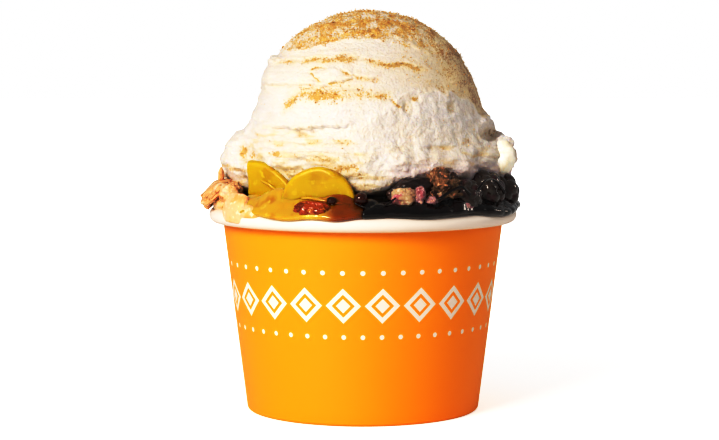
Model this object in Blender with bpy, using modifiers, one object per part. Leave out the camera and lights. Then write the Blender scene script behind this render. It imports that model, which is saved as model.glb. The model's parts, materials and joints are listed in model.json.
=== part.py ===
"""A paper dessert cup of peach and dark-berry cobbler under one scoop of vanilla ice cream.

The row frame is in metres, +Z up, with the origin where the cup's axis meets the table. The open front of the
serving, where the fruit shows, faces -Y. The peach side is at -X and the dark-berry side at +X.
"""

import itertools
import math

import bmesh
import bpy
import numpy as np
from mathutils import Matrix, Vector

MM = 0.001

# Cup: a cone of printed board with a rolled rim, and a recessed base held in the turned-in hem.
BOARD = 0.5 * MM
CUP_FOOT_RADIUS = 36.1 * MM
CUP_SHOULDER_RADIUS = 43.5 * MM
CUP_SHOULDER_HEIGHT = 58.6 * MM
BEAD_RADIUS = 2.3 * MM
BASE_HEIGHT = 5.6 * MM
BOARD_PITCH = 0.8 * MM
CURL_TURN = math.radians(305)
CURL_STEPS = 7
FOLD_STEPS = 3
ROUND_STEPS = 48

# Contents: two syrups that meet on the plane x = 0, fruit and crust in a ring on them, and the scoop on top.
GAP = 0.3 * MM
SIDE_GAP = 0.45 * MM
SWELL = 0.4 * MM
SCOOP_SWELL = 0.7 * MM
FILL_TOP = 64.6 * MM
LIP_UNDERSIDE = 63.55 * MM
LIP_RADIUS = 45.6 * MM
LIP_SWING = 0.9 * MM

# The syrup's top outside the scoop's foot, from the lip inward: radius and height of a low mound.
MOUND = (
    (45.6 * MM, 64.2 * MM),
    (43.8 * MM, 65.6 * MM),
    (41.0 * MM, 66.7 * MM),
    (34.0 * MM, 67.0 * MM),
    (31.2 * MM, 64.6 * MM),
)

SCOOP_CENTRE = (1.9 * MM, 0.0, 88.0 * MM)
SCOOP_RADIUS = 35.5 * MM
SCOOP_REST = FILL_TOP + 0.6 * MM
SCOOP_FOOT_RADIUS = 28.5 * MM
SCOOP_SLICES = 56
SCOOP_RINGS = 31
BALL_SHARE = 0.50
BALL_ANGLE = math.radians(78)

# The torn skirt round the scoop's foot: azimuth in degrees, reach from the scoop's axis and height of its edge.
SKIRT = (
    (0, 45.4, 80.8),
    (30, 42.0, 80.0),
    (60, 40.0, 79.0),
    (90, 40.4, 77.5),
    (120, 39.8, 79.0),
    (150, 42.5, 80.5),
    (180, 45.4, 81.0),
    (203, 42.0, 81.5),
    (225, 38.8, 82.0),
    (250, 38.2, 80.6),
    (270, 38.8, 74.8),
    (287, 38.4, 78.6),
    (302, 38.6, 82.0),
    (330, 41.0, 81.6),
)

# The scoop rolled off in layers: each ledge is a plane that leans back by LEDGE_LEAN, at this height on the axis.
LEDGES = (104.3 * MM, 99.0 * MM, 93.0 * MM, 87.0 * MM, 81.0 * MM)
LEDGE_LEAN = 0.35
LEDGE_RISE = 0.7 * MM
LEDGE_GROOVE = 0.8 * MM

# Toppings: how much of a peach the slices are deep, the grain of a torn lump, and the berries' drupelets.
STONE_SHARE = 0.62
LUMP_CELL = 0.55
SMALL_LUMP = 8.0
DRUPELET_LEVEL = 2
BERRY_LEVEL = 3
DRUPELET_RISE = 0.10

ORANGE_BOARD = ("orange_board", (1.0, 0.20, 0.004), 0.4)
WHITE_BOARD = ("white_board", (0.86, 0.84, 0.80), 0.5)
ICE_CREAM = ("ice_cream", (0.93, 0.85, 0.68), 0.5)
PEACH_SYRUP = ("peach_syrup", (0.78, 0.26, 0.01), 0.12)
BERRY_SYRUP = ("berry_syrup", (0.012, 0.006, 0.006), 0.1)
PEACH_FLESH = ("peach_flesh", (0.83, 0.40, 0.006), 0.25)
RED_PEACH = ("red_peach", (0.55, 0.05, 0.004), 0.2)
BAKED_CRUST = ("baked_crust", (0.62, 0.30, 0.08), 0.6)
PALE_DOUGH = ("pale_dough", (0.90, 0.70, 0.40), 0.6)
STAINED_CRUST = ("stained_crust", (0.07, 0.025, 0.015), 0.4)
STAINED_DOUGH = ("stained_dough", (0.42, 0.18, 0.11), 0.5)
DARK_BERRY = ("dark_berry", (0.015, 0.006, 0.012), 0.15)


def clear_scene():
    """Remove every object, so that the script gives the same model each time."""
    for old in list(bpy.data.objects):
        bpy.data.objects.remove(old, do_unlink=True)


def new_collection(name):
    """A collection in the scene."""
    collection = bpy.data.collections.new(name)
    bpy.context.scene.collection.children.link(collection)
    return collection


def material(finish):
    """The Principled material of a (name, linear colour, roughness) finish, made once."""
    name, colour, roughness = finish
    made = bpy.data.materials.get(name)
    if made is None:
        made = bpy.data.materials.new(name)
        made.use_nodes = True
        shader = made.node_tree.nodes["Principled BSDF"]
        shader.inputs["Base Color"].default_value = (*colour, 1.0)
        shader.inputs["Roughness"].default_value = roughness
        shader.inputs["Metallic"].default_value = 0.0
    return made


def add_object(name, bm, finish, collection):
    """Turn a bmesh into a smooth-shaded object with its finish."""
    mesh = bpy.data.meshes.new(name)
    bm.normal_update()
    bm.to_mesh(mesh)
    bm.free()
    mesh.shade_smooth()
    mesh.set_sharp_from_angle(angle=math.radians(40))
    mesh.materials.append(material(finish))
    made = bpy.data.objects.new(name, mesh)
    collection.objects.link(made)
    return made


def lattice_noise(points, cell, seed):
    """Smooth noise from -1 to 1: one fixed random value at each corner of a grid of this cell size."""
    scaled = np.asarray(points) / cell
    low = np.floor(scaled).astype(np.int64)
    blend = scaled - low
    blend = blend * blend * (3.0 - 2.0 * blend)
    total = np.zeros(len(scaled))
    for corner in itertools.product((0, 1), repeat=3):
        weight = np.prod(np.where(corner, blend, 1.0 - blend), axis=1)
        key = (low + corner) @ np.array([374761393, 668265263, 2147483647]) + seed * 974634777
        key = ((key ^ (key >> 13)) * 1274126177) & 0xFFFFFFFF
        total += weight * (((key ^ (key >> 16)) & 0xFFFF) / 32767.5 - 1.0)
    return total


def wall_radius(height):
    """Outer radius of the cup's cone at a height."""
    slope = (CUP_SHOULDER_RADIUS - CUP_FOOT_RADIUS) / CUP_SHOULDER_HEIGHT
    return CUP_FOOT_RADIUS + slope * height


def bead_centre():
    """Radius and height of the rolled rim's centre: the bead stands on the shoulder, outside the cone."""
    height = CUP_SHOULDER_HEIGHT + BEAD_RADIUS
    return wall_radius(height) - BOARD + BEAD_RADIUS, height


def arc(centre_r, centre_z, radius, start, turn, steps):
    """Points (r, z) on an arc in the meridian plane, both ends included."""
    angles = [start + turn * step / steps for step in range(steps + 1)]
    return [(centre_r + radius * math.cos(a), centre_z + radius * math.sin(a)) for a in angles]


def turned_sheet(name, middle_line, finish, collection):
    """Board bent to a turned shape: the middle line of its section, screwed round +Z and given the board's thickness."""
    bm = bmesh.new()
    points = [bm.verts.new((r, 0.0, z)) for r, z in middle_line]
    for first, second in zip(points, points[1:]):
        bm.edges.new((first, second))
    made = add_object(name, bm, finish, collection)
    screw = made.modifiers.new("Turn", "SCREW")
    screw.steps = screw.render_steps = ROUND_STEPS
    screw.use_merge_vertices = True
    screw.merge_threshold = 0.00001
    thickness = made.modifiers.new("Board", "SOLIDIFY")
    thickness.thickness = BOARD
    thickness.offset = 0.0
    thickness.use_even_offset = True
    return made


def cup_wall(collection):
    """The printed cone, from the turned-in hem round the fold at the foot and up to the rolled rim."""
    outside = wall_radius(0.0) - BOARD / 2
    lean = wall_radius(1.0) - wall_radius(0.0)
    fold = BOARD_PITCH
    fold_height = fold * math.cos(math.pi / (2 * FOLD_STEPS)) + BOARD / 2
    hem_top = BASE_HEIGHT - 0.9 * MM
    bead_r, bead_z = bead_centre()
    section = [(outside - 2 * fold + lean * hem_top, hem_top)]
    section += arc(outside - fold + lean * fold_height, fold_height, fold, math.pi, math.pi, FOLD_STEPS)
    section += arc(bead_r, bead_z, BEAD_RADIUS - BOARD / 2, math.pi, -CURL_TURN, CURL_STEPS)
    return turned_sheet("cup_wall", section[::-1], ORANGE_BOARD, collection)


def cup_base(collection):
    """The recessed disc, whose turned-down flange stands between the wall and its hem."""
    outside = wall_radius(0.0) - BOARD / 2 - BOARD_PITCH
    lean = wall_radius(1.0) - wall_radius(0.0)
    flange_foot = 1.6 * MM
    corner = 0.7 * MM
    section = [
        (outside + lean * flange_foot, flange_foot),
        (outside + lean * BASE_HEIGHT, BASE_HEIGHT - corner),
        (outside + lean * BASE_HEIGHT - corner, BASE_HEIGHT),
        (0.0, BASE_HEIGHT),
    ]
    return turned_sheet("cup_base", section[::-1], WHITE_BOARD, collection)


def lip_radius(azimuth, seed):
    """Reach of the syrup over the rim: a slow wave round the cup."""
    return LIP_RADIUS + LIP_SWING * math.sin(3 * azimuth + seed) * math.cos(5 * azimuth - seed)


def filling(name, first_azimuth, finish, seed, collection):
    """Half of the cup's contents: a section spun half a turn, whose lip rides over the rim, closed on the flat side."""
    floor = BASE_HEIGHT + BOARD / 2 + GAP
    neck_r = bead_centre()[0] - BEAD_RADIUS - SIDE_GAP
    section = [
        (0.0, floor),
        (wall_radius(floor) - BOARD - SIDE_GAP, floor),
        (neck_r, bead_centre()[1]),
        (neck_r + 0.4 * MM, LIP_UNDERSIDE),
        (LIP_RADIUS, LIP_UNDERSIDE),
        *MOUND,
        (0.0, FILL_TOP),
    ]
    bm = bmesh.new()
    start = Matrix.Rotation(first_azimuth, 3, "Z")
    points = [bm.verts.new(start @ Vector((r, 0.0, z))) for r, z in section]
    edges = [bm.edges.new(pair) for pair in zip(points, points[1:])]
    bmesh.ops.spin(
        bm,
        geom=points + edges,
        axis=(0, 0, 1),
        cent=(0, 0, 0),
        angle=math.pi,
        steps=ROUND_STEPS // 2,
    )
    bmesh.ops.remove_doubles(bm, verts=bm.verts, dist=0.00001)
    axis_ends = [v for v in bm.verts if v.co.xy.length < 0.01 * MM]
    bm.edges.new(axis_ends)
    flat_side = [e for e in bm.edges if len(e.link_faces) < 2]
    bmesh.ops.contextual_create(bm, geom=flat_side)
    for vertex in bm.verts:
        reach = vertex.co.xy.length
        if reach > LIP_RADIUS - 0.1 * MM:
            azimuth = math.atan2(vertex.co.y, vertex.co.x)
            vertex.co.xy *= lip_radius(azimuth, seed) / reach
    apart = Vector((math.copysign(GAP / 2, math.cos(first_azimuth + math.pi / 2)), 0.0, 0.0))
    bmesh.ops.translate(bm, verts=bm.verts, vec=apart)
    bmesh.ops.triangulate(bm, faces=[f for f in bm.faces if len(f.verts) > 4])
    bmesh.ops.recalc_face_normals(bm, faces=bm.faces)
    return add_object(name, bm, finish, collection)


def smooth_step(low, high, value):
    """0 below low, 1 above high, and a smooth rise between."""
    share = np.clip((value - low) / (high - low), 0.0, 1.0)
    return share * share * (3.0 - 2.0 * share)


def skirt_edge(azimuth):
    """Reach and height of the skirt's edge at each azimuth, read round the SKIRT table."""
    degrees = np.degrees(azimuth) % 360.0
    table = np.array(SKIRT + ((SKIRT[0][0] + 360, *SKIRT[0][1:]),), float)
    reach = np.interp(degrees, table[:, 0], table[:, 1]) * MM
    height = np.interp(degrees, table[:, 0], table[:, 2]) * MM
    return reach, height


def spline(stops, along):
    """Catmull-Rom curve through stops (stop, point, value), read at along (0 at stop 1, 1 at the last but one)."""
    spans = len(stops) - 3
    place = np.clip(along, 0.0, 1.0) * spans
    first = np.minimum(place.astype(int), spans - 1)
    u = place - first
    picks = [np.take_along_axis(stops, (first + step)[None], axis=0)[0] for step in range(4)]
    p0, p1, p2, p3 = picks
    return 0.5 * (
        2 * p1 + (p2 - p0) * u + (2 * p0 - 5 * p1 + 4 * p2 - p3) * u**2 + (3 * p1 - p0 - 3 * p2 + p3) * u**3
    )


def scoop_body(azimuth, polar):
    """Points of the scoop with no relief: a ball that flares below into a skirt, and turns in under it to the foot."""
    centre_x, centre_y, centre_z = SCOOP_CENTRE
    share = polar / math.pi
    on_ball = np.minimum(share / BALL_SHARE, 1.0) * BALL_ANGLE
    waist = SCOOP_RADIUS * math.sin(BALL_ANGLE)
    waist_z = centre_z + SCOOP_RADIUS * math.cos(BALL_ANGLE)
    before = (SCOOP_RADIUS * math.sin(BALL_ANGLE - 0.2), centre_z + SCOOP_RADIUS * math.cos(BALL_ANGLE - 0.2))
    edge, edge_z = skirt_edge(azimuth)
    flare, rise = edge - waist, waist_z - edge_z
    tuck = np.maximum(edge - 3.6 * MM, 33.5 * MM)
    tuck_z = np.maximum(edge_z - 9.5 * MM, 69.2 * MM)
    even = np.ones(len(polar))
    stops = (
        (before[0] * even, before[1] * even),
        (waist * even, waist_z * even),
        (waist + 0.38 * flare, edge_z + 0.52 * rise),
        (waist + 0.75 * flare, edge_z + 0.22 * rise),
        (edge, edge_z),
        (edge - 0.9 * MM, np.maximum(edge_z - 5.0 * MM, 70.0 * MM)),
        (tuck, tuck_z),
        (31.0 * MM + 0.15 * (tuck - 31.0 * MM), tuck_z - 0.8 * MM),
        (SCOOP_FOOT_RADIUS * even, SCOOP_REST * even),
        (0.5 * SCOOP_FOOT_RADIUS * even, SCOOP_REST * even),
        (0.0 * even, SCOOP_REST * even),
        (-SCOOP_FOOT_RADIUS * even, SCOOP_REST * even),
    )
    along = (share - BALL_SHARE) / (1.0 - BALL_SHARE)
    low_reach = spline(np.array([r for r, _ in stops]), along)
    low_z = np.maximum(spline(np.array([z for _, z in stops]), along), SCOOP_REST)
    high = share < BALL_SHARE
    reach = np.where(high, SCOOP_RADIUS * np.sin(on_ball), np.maximum(low_reach, 0.0))
    height = np.where(high, centre_z + SCOOP_RADIUS * np.cos(on_ball), low_z)
    return np.stack((centre_x + reach * np.cos(azimuth), centre_y + reach * np.sin(azimuth), height), axis=1)


def ledge_relief(points):
    """Each ledge stands out above its line and has a groove just under it, strongest at the front left."""
    wander = 1.1 * MM * lattice_noise(points, 14 * MM, 3) + 0.5 * MM * lattice_noise(points, 5 * MM, 4)
    level = points[:, 2] + LEDGE_LEAN * points[:, 1] + wander
    relief = np.zeros(len(points))
    for ledge in LEDGES:
        above = level - ledge
        relief += np.where(
            above > 0,
            LEDGE_RISE * np.exp(-above / (2.4 * MM)),
            -LEDGE_GROOVE * np.exp(above / (1.3 * MM)),
        )
    to_left = smooth_step(22 * MM, -6 * MM, points[:, 0])
    return relief * (0.25 + 0.75 * to_left) * smooth_step(74 * MM, 80 * MM, points[:, 2])


def torn_relief(points):
    """The fluffy torn layer over the lower right of the front: raised, with crags of a few millimetres."""
    ragged = 3.0 * MM * lattice_noise(points, 9 * MM, 11)
    side = smooth_step(-6 * MM, 12 * MM, points[:, 0] + ragged) * smooth_step(14 * MM, 2 * MM, points[:, 1])
    height = smooth_step(101 * MM, 97 * MM, points[:, 2] + 0.25 * points[:, 0] + ragged)
    crags = 0.9 * MM * lattice_noise(points, 4.5 * MM, 12)
    return side * height * (1.1 * MM + crags)


def scoop_points(azimuth, polar):
    """Points of the scoop's surface with its relief, which grows outward from the ball's lower middle."""
    bare = scoop_body(azimuth, polar)
    outward = bare - np.array((SCOOP_CENTRE[0], SCOOP_CENTRE[1], 76 * MM))
    outward /= np.linalg.norm(outward, axis=1)[:, None]
    above_foot = smooth_step(SCOOP_REST + 1.0 * MM, SCOOP_REST + 6.0 * MM, bare[:, 2])
    skirt_zone = smooth_step(84 * MM, 78 * MM, bare[:, 2])
    ragged = 1.3 * MM * lattice_noise(bare, 6 * MM, 21) + 0.7 * MM * lattice_noise(bare, 3 * MM, 22)
    lift = ledge_relief(bare) + torn_relief(bare) + skirt_zone * ragged + 0.3 * MM * lattice_noise(bare, 8 * MM, 23)
    return bare + outward * (lift * above_foot)[:, None]


def ice_cream(collection):
    """The scoop: a ball whose points the formulas above place."""
    bm = bmesh.new()
    bmesh.ops.create_uvsphere(bm, u_segments=SCOOP_SLICES, v_segments=SCOOP_RINGS, radius=1.0)
    unit = np.array([v.co for v in bm.verts])
    azimuth = np.arctan2(unit[:, 1], unit[:, 0])
    polar = np.arccos(np.clip(unit[:, 2], -1.0, 1.0))
    for vertex, point in zip(bm.verts, scoop_points(azimuth, polar)):
        vertex.co = point
    return add_object("ice_cream", bm, ICE_CREAM, collection)


def cup_clearance(collection):
    """What the toppings must stay out of: the cup up to its rim and the syrup, with a gap all round."""
    bead_r, bead_z = bead_centre()
    reach = bead_r + BEAD_RADIUS + SIDE_GAP
    top = FILL_TOP + GAP
    section = [
        (0.0, top),
        *((r, z + GAP) for r, z in MOUND[:0:-1]),
        (LIP_RADIUS + LIP_SWING + GAP, MOUND[0][1] + GAP),
        (bead_r + 0.8 * (reach - bead_r), bead_z + 0.75 * (reach - bead_r)),
        (reach, bead_z + 0.2 * BEAD_RADIUS),
        (reach, bead_z - BEAD_RADIUS),
        (reach - 0.5 * MM, bead_z - 3 * BEAD_RADIUS),
        (0.0, bead_z - 3 * BEAD_RADIUS),
    ]
    bm = bmesh.new()
    points = [bm.verts.new((r, 0.0, z)) for r, z in section]
    edges = [bm.edges.new(pair) for pair in zip(points, points[1:])]
    bmesh.ops.spin(
        bm, geom=points + edges, axis=(0, 0, 1), cent=(0, 0, 0), angle=2 * math.pi, steps=ROUND_STEPS
    )
    bmesh.ops.remove_doubles(bm, verts=bm.verts, dist=0.00001)
    bmesh.ops.recalc_face_normals(bm, faces=bm.faces)
    clearance = add_object("cup_clearance", bm, WHITE_BOARD, collection)
    hide(clearance)
    return clearance


def ring_matrix(azimuth_deg, reach, height, turn_deg=0.0, tilt_deg=0.0, roll_deg=0.0):
    """Place a topping on the ring: local -Y faces outward, then turn about Z, tilt about X and roll about Y."""
    azimuth = math.radians(azimuth_deg)
    place = Matrix.Translation((reach * MM * math.cos(azimuth), reach * MM * math.sin(azimuth), height * MM))
    face_out = Matrix.Rotation(azimuth + math.pi / 2 + math.radians(turn_deg), 4, "Z")
    tilt = Matrix.Rotation(math.radians(tilt_deg), 4, "X")
    roll = Matrix.Rotation(math.radians(roll_deg), 4, "Y")
    return place @ face_out @ tilt @ roll


def clearance_copy(solid, swell, collection):
    """A hidden, swelled copy of a solid that keeps the toppings laid after it clear of it."""
    bm = bmesh.new()
    bm.from_mesh(solid.data)
    bm.normal_update()
    for vertex in bm.verts:
        vertex.co += vertex.normal * swell
    copy = add_object(f"{solid.name}_clearance", bm, WHITE_BOARD, collection)
    hide(copy)
    return copy


def hide(cutter):
    """Keep a cutting shape out of the model and show it as wires."""
    cutter.hide_render = True
    cutter.display_type = "WIRE"


def boxes_meet(first, second):
    """Whether the boxes round two objects' meshes meet."""
    low_a, high_a = mesh_box(first)
    low_b, high_b = mesh_box(second)
    return bool(np.all(low_a < high_b) and np.all(low_b < high_a))


def mesh_box(made):
    """Lowest and highest corner of an object's mesh."""
    points = np.array([v.co for v in made.data.vertices])
    return points.min(axis=0), points.max(axis=0)


def lay(topping, cutters, collection):
    """Cut a topping back from what carries it, from the ice cream and from the toppings laid before it."""
    clearance = clearance_copy(topping, SWELL, collection)
    for cutter in cutters:
        if boxes_meet(topping, cutter):
            cut = topping.modifiers.new(f"Clear of {cutter.name}", "BOOLEAN")
            cut.operation = "DIFFERENCE"
            cut.solver = "EXACT"
            cut.object = cutter
    cutters.append(clearance)


def peach_slice(name, place, radius, sweep, wedge_deg, finish, collection):
    """A wedge of peach: a crescent outline spun about the fruit's core by the wedge angle, with softened edges.

    The core lies along local X and the crescent bulges up local Z. sweep is (first, last) angle round the crescent
    in degrees, so a slice that was cut short ends in a flat face.
    """
    first, last = (math.radians(a) for a in sweep)
    steps = 9
    angles = [first + (last - first) * step / steps for step in range(steps + 1)]
    outer = [(radius * math.cos(a), radius * math.sin(a)) for a in angles]
    depth = [radius * STONE_SHARE * max(math.sin(a), 0.0) ** 0.6 for a in angles]
    inner = [((radius - d) * math.cos(a), (radius - d) * math.sin(a)) for a, d in zip(angles, depth)]
    outline = outer + inner[::-1]
    bm = bmesh.new()
    points = [bm.verts.new((x * MM, 0.0, z * MM)) for x, z in outline]
    cut_face = bm.faces.new(points)
    bmesh.ops.spin(
        bm,
        geom=[cut_face],
        axis=(1, 0, 0),
        cent=(0, 0, 0),
        angle=-math.radians(wedge_deg),
        steps=3,
        use_merge=False,
    )
    bmesh.ops.remove_doubles(bm, verts=bm.verts, dist=0.02 * MM)
    bmesh.ops.recalc_face_normals(bm, faces=bm.faces)
    bmesh.ops.transform(bm, matrix=place, verts=bm.verts)
    return add_object(name, bm, finish, collection)


def lump(name, place, size, seed, finish, rough, collection):
    """A torn lump of crust or dough: a ball stretched to size whose points wander by a share of its radius."""
    small = max(size) < SMALL_LUMP
    bm = bmesh.new()
    bmesh.ops.create_icosphere(bm, subdivisions=2 if small else 3, radius=1.0)
    unit = np.array([v.co for v in bm.verts])
    fine, broad = lattice_noise(unit, LUMP_CELL, seed), lattice_noise(unit, 2.2 * LUMP_CELL, seed + 1)
    wander = 1.0 + rough * (fine + broad)
    for vertex, direction, share in zip(bm.verts, unit, wander):
        vertex.co = Vector(direction * share * np.array(size) / 2 * MM)
    bmesh.ops.transform(bm, matrix=place, verts=bm.verts)
    return add_object(name, bm, finish, collection)


def droop(topping, start, depth):
    """Let what reaches past the start radius hang down over the rim by up to depth."""
    for vertex in topping.data.vertices:
        past = max(vertex.co.xy.length - start, 0.0)
        vertex.co.z -= depth * smooth_step(0.0, 5 * MM, past)


def dark_berry(name, place, size, collection):
    """A dark berry: a ball stretched to size, with a raised drupelet round each point of a coarser ball."""
    seeds = bmesh.new()
    bmesh.ops.create_icosphere(seeds, subdivisions=DRUPELET_LEVEL, radius=1.0)
    middles = np.array([v.co for v in seeds.verts])
    seeds.free()
    bm = bmesh.new()
    bmesh.ops.create_icosphere(bm, subdivisions=BERRY_LEVEL, radius=1.0)
    unit = np.array([v.co for v in bm.verts])
    nearest = np.min(np.linalg.norm(unit[:, None] - middles[None], axis=2), axis=1)
    bulge = 1.0 - DRUPELET_RISE * smooth_step(0.0, 0.34, nearest)
    for vertex, direction, share in zip(bm.verts, unit, bulge):
        vertex.co = Vector(direction * share * np.array(size) / 2 * MM)
    bmesh.ops.transform(bm, matrix=place, verts=bm.verts)
    return add_object(name, bm, DARK_BERRY, collection)


def build_toppings(dish, helpers, cutters):
    """The fruit, crust and dough that lie in a ring between the rim and the scoop, named for where they lie."""
    slices = (
        ("peach_slice_front", ring_matrix(252, 42.6, 66.0, turn_deg=5, tilt_deg=4), 11.4, (4, 176), 40, PEACH_FLESH),
        ("peach_slice_left", ring_matrix(213, 41.0, 61.6, turn_deg=26, roll_deg=2), 17.0, (14, 93), 34, PEACH_FLESH),
        ("peach_slice_back_left", ring_matrix(155, 42.0, 61.4, turn_deg=6), 15.5, (20, 165), 38, PEACH_FLESH),
        ("peach_slice_back", ring_matrix(101, 41.6, 60.6, turn_deg=-5), 16.0, (15, 150), 34, PEACH_FLESH),
    )
    for name, place, radius, sweep, wedge_deg, finish in slices:
        lay(peach_slice(name, place, radius, sweep, wedge_deg, finish, dish), cutters, helpers)

    lumps = (
        ("peach_piece_red", ring_matrix(247, 45.6, 65.2), (11.0, 4.6, 4.4), 5, RED_PEACH, 0.10),
        ("crust_left", ring_matrix(189, 45.0, 68.8, roll_deg=8), (17.0, 13.0, 7.8), 31, BAKED_CRUST, 0.20),
        ("dough_left", ring_matrix(212, 46.6, 65.4), (12.5, 7.0, 10.0), 17, PALE_DOUGH, 0.12),
        ("crust_dark", ring_matrix(303, 42.2, 70.2, roll_deg=-6), (12.0, 8.0, 11.5), 41, STAINED_CRUST, 0.20),
        ("crust_drowned", ring_matrix(288.5, 41.2, 71.4, roll_deg=12), (10.5, 7.0, 8.0), 43, STAINED_CRUST, 0.20),
        ("dough_tan", ring_matrix(285.5, 44.0, 68.6), (6.8, 5.0, 6.2), 51, STAINED_DOUGH, 0.12),
        ("dough_pink", ring_matrix(293.5, 45.6, 68.0), (3.9, 3.4, 6.4), 53, STAINED_DOUGH, 0.16),
        ("crust_back_left", ring_matrix(127.5, 43.8, 68.2), (11.0, 9.0, 10.0), 61, BAKED_CRUST, 0.20),
        ("crust_back_right", ring_matrix(52, 42.6, 69.0), (15.0, 11.0, 11.5), 71, STAINED_CRUST, 0.20),
    )
    for name, place, size, seed, finish, rough in lumps:
        made = lump(name, place, size, seed, finish, rough, dish)
        if name in ("crust_left", "dough_left"):
            droop(made, 45.5 * MM, 3.2 * MM)
        lay(made, cutters, helpers)

    berries = (
        ("berry_right", ring_matrix(349, 42.2, 68.2), (13.5, 14.0, 13.0)),
        ("berry_front_right", ring_matrix(331, 42.0, 69.0, roll_deg=20), (14.5, 12.5, 13.5)),
        ("berry_front", ring_matrix(314.5, 43.4, 68.0, roll_deg=-15), (11.5, 9.5, 11.0)),
        ("berry_back_right", ring_matrix(11, 42.4, 68.0, roll_deg=10), (14.5, 13.0, 13.0)),
        ("berry_far_right", ring_matrix(31, 42.4, 68.0, roll_deg=-20), (12.5, 12.5, 12.5)),
        ("berry_back", ring_matrix(75, 43.0, 67.6, roll_deg=15), (13.0, 12.5, 12.0)),
        ("berry_small", ring_matrix(269.2, 44.0, 68.2), (4.4, 4.2, 4.4)),
    )
    for name, place, size in berries:
        lay(dark_berry(name, place, size, dish), cutters, helpers)


def main():
    """Build the cup, its contents and the scoop."""
    clear_scene()
    dish = new_collection("cobbler_cup")
    helpers = new_collection("clearances")
    helpers.hide_render = True
    cup_wall(dish)
    cup_base(dish)
    filling("peach_filling", math.pi / 2, PEACH_SYRUP, 0.4, dish)
    filling("berry_filling", -math.pi / 2, BERRY_SYRUP, 1.7, dish)
    scoop = ice_cream(dish)
    cutters = [cup_clearance(helpers), clearance_copy(scoop, SCOOP_SWELL, helpers), scoop]
    build_toppings(dish, helpers, cutters)


main()
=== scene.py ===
"""The looks of a peach and dark-berry cobbler cup: printed board, syrup, fruit, crust and a dusted scoop.

Everything is in metres in the CAD frame: +Z up, the cup's axis at x = y = 0, the shown front towards -Y, the
peach side at -X and the dark-berry side at +X. Each piece is a surface that numpy works out from its sizes.
"""

from __future__ import annotations

import itertools
import json
import logging
import math
from dataclasses import dataclass, field
from enum import Enum

import bpy
import numpy as np
from mathutils import Matrix, Vector

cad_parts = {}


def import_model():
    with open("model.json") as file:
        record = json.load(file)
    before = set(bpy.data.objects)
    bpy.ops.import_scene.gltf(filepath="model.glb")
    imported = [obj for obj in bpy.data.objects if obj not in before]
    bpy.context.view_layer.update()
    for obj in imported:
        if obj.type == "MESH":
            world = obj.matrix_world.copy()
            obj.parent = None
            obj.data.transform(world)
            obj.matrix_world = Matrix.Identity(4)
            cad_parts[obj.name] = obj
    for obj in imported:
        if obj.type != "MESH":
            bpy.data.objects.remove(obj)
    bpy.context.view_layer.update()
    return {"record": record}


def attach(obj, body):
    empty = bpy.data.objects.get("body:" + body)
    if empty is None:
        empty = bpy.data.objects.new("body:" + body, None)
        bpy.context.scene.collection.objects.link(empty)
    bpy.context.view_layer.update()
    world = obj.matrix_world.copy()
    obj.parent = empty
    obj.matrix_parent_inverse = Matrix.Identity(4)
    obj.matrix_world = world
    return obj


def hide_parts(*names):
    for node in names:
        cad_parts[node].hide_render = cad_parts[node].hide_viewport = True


MM = 0.001
MM_PER_METRE = 1000
WATERY_IOR = 1.4
RIM_TOP_REACH = 45.5 * MM
BODY = "root"
Socket = bpy.types.NodeSocket
log = logging.getLogger("cobbler")


class Side(Enum):
    """The two halves of the cup's contents, with the azimuth at which each half starts."""

    PEACH = math.pi / 2
    BERRY = -math.pi / 2


# Shapes as whole arrays


def smooth_step(low: float, high: float, value: np.ndarray) -> np.ndarray:
    """0 below low, 1 above high and the cubic 3t^2 - 2t^3 between; low above high turns it round."""
    share = np.clip((value - low) / (high - low), 0.0, 1.0)
    return share * share * (3.0 - 2.0 * share)


def cell_value(cells: np.ndarray, seed: int) -> np.ndarray:
    """A fixed random value from -1 to 1 for each whole-number cell: its three numbers mixed and folded."""
    key = cells @ np.array([374761393, 668265263, 2147483647]) + seed * 974634777
    key = ((key ^ (key >> 13)) * 1274126177) & 0xFFFFFFFF
    return ((key ^ (key >> 16)) & 0xFFFF) / 32767.5 - 1.0


def lattice_noise(points: np.ndarray, cell: float, seed: int) -> np.ndarray:
    """Smooth noise from -1 to 1: one fixed random value at each corner of a grid, blended inside each cell.

    Args:
        points: an array whose last axis is x, y, z.
        cell: the grid's spacing, in the points' own unit.
        seed: picks the set of random values.

    Returns:
        One value a point.
    """
    scaled = np.asarray(points) / cell
    low = np.floor(scaled).astype(np.int64)
    blend = scaled - low
    blend = blend * blend * (3.0 - 2.0 * blend)
    total = np.zeros(scaled.shape[:-1])
    for corner in itertools.product((0, 1), repeat=3):
        weight = np.prod(np.where(corner, blend, 1.0 - blend), axis=-1)
        total += weight * cell_value(low + corner, seed)
    return total


def layered_noise(points: np.ndarray, cell: float, seed: int, layers: int = 4) -> np.ndarray:
    """Lattice noise summed over layers, each with half the cell and half the height of the one before."""
    total = np.zeros(np.asarray(points).shape[:-1])
    for layer in range(layers):
        total += lattice_noise(points, cell / 2**layer, seed + 17 * layer) / 2**layer
    return total


def ridged_noise(points: np.ndarray, cell: float, seed: int, layers: int = 3) -> np.ndarray:
    """Crags up to about 1: each layer is 1 minus twice the size of a noise, so its zero lines are ridges."""
    total = np.zeros(np.asarray(points).shape[:-1])
    for layer in range(layers):
        valley = np.abs(lattice_noise(points, cell / 2**layer, seed + 31 * layer))
        total += (1.0 - 2.0 * valley) / 2 ** (layer + 1)
    return total


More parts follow.
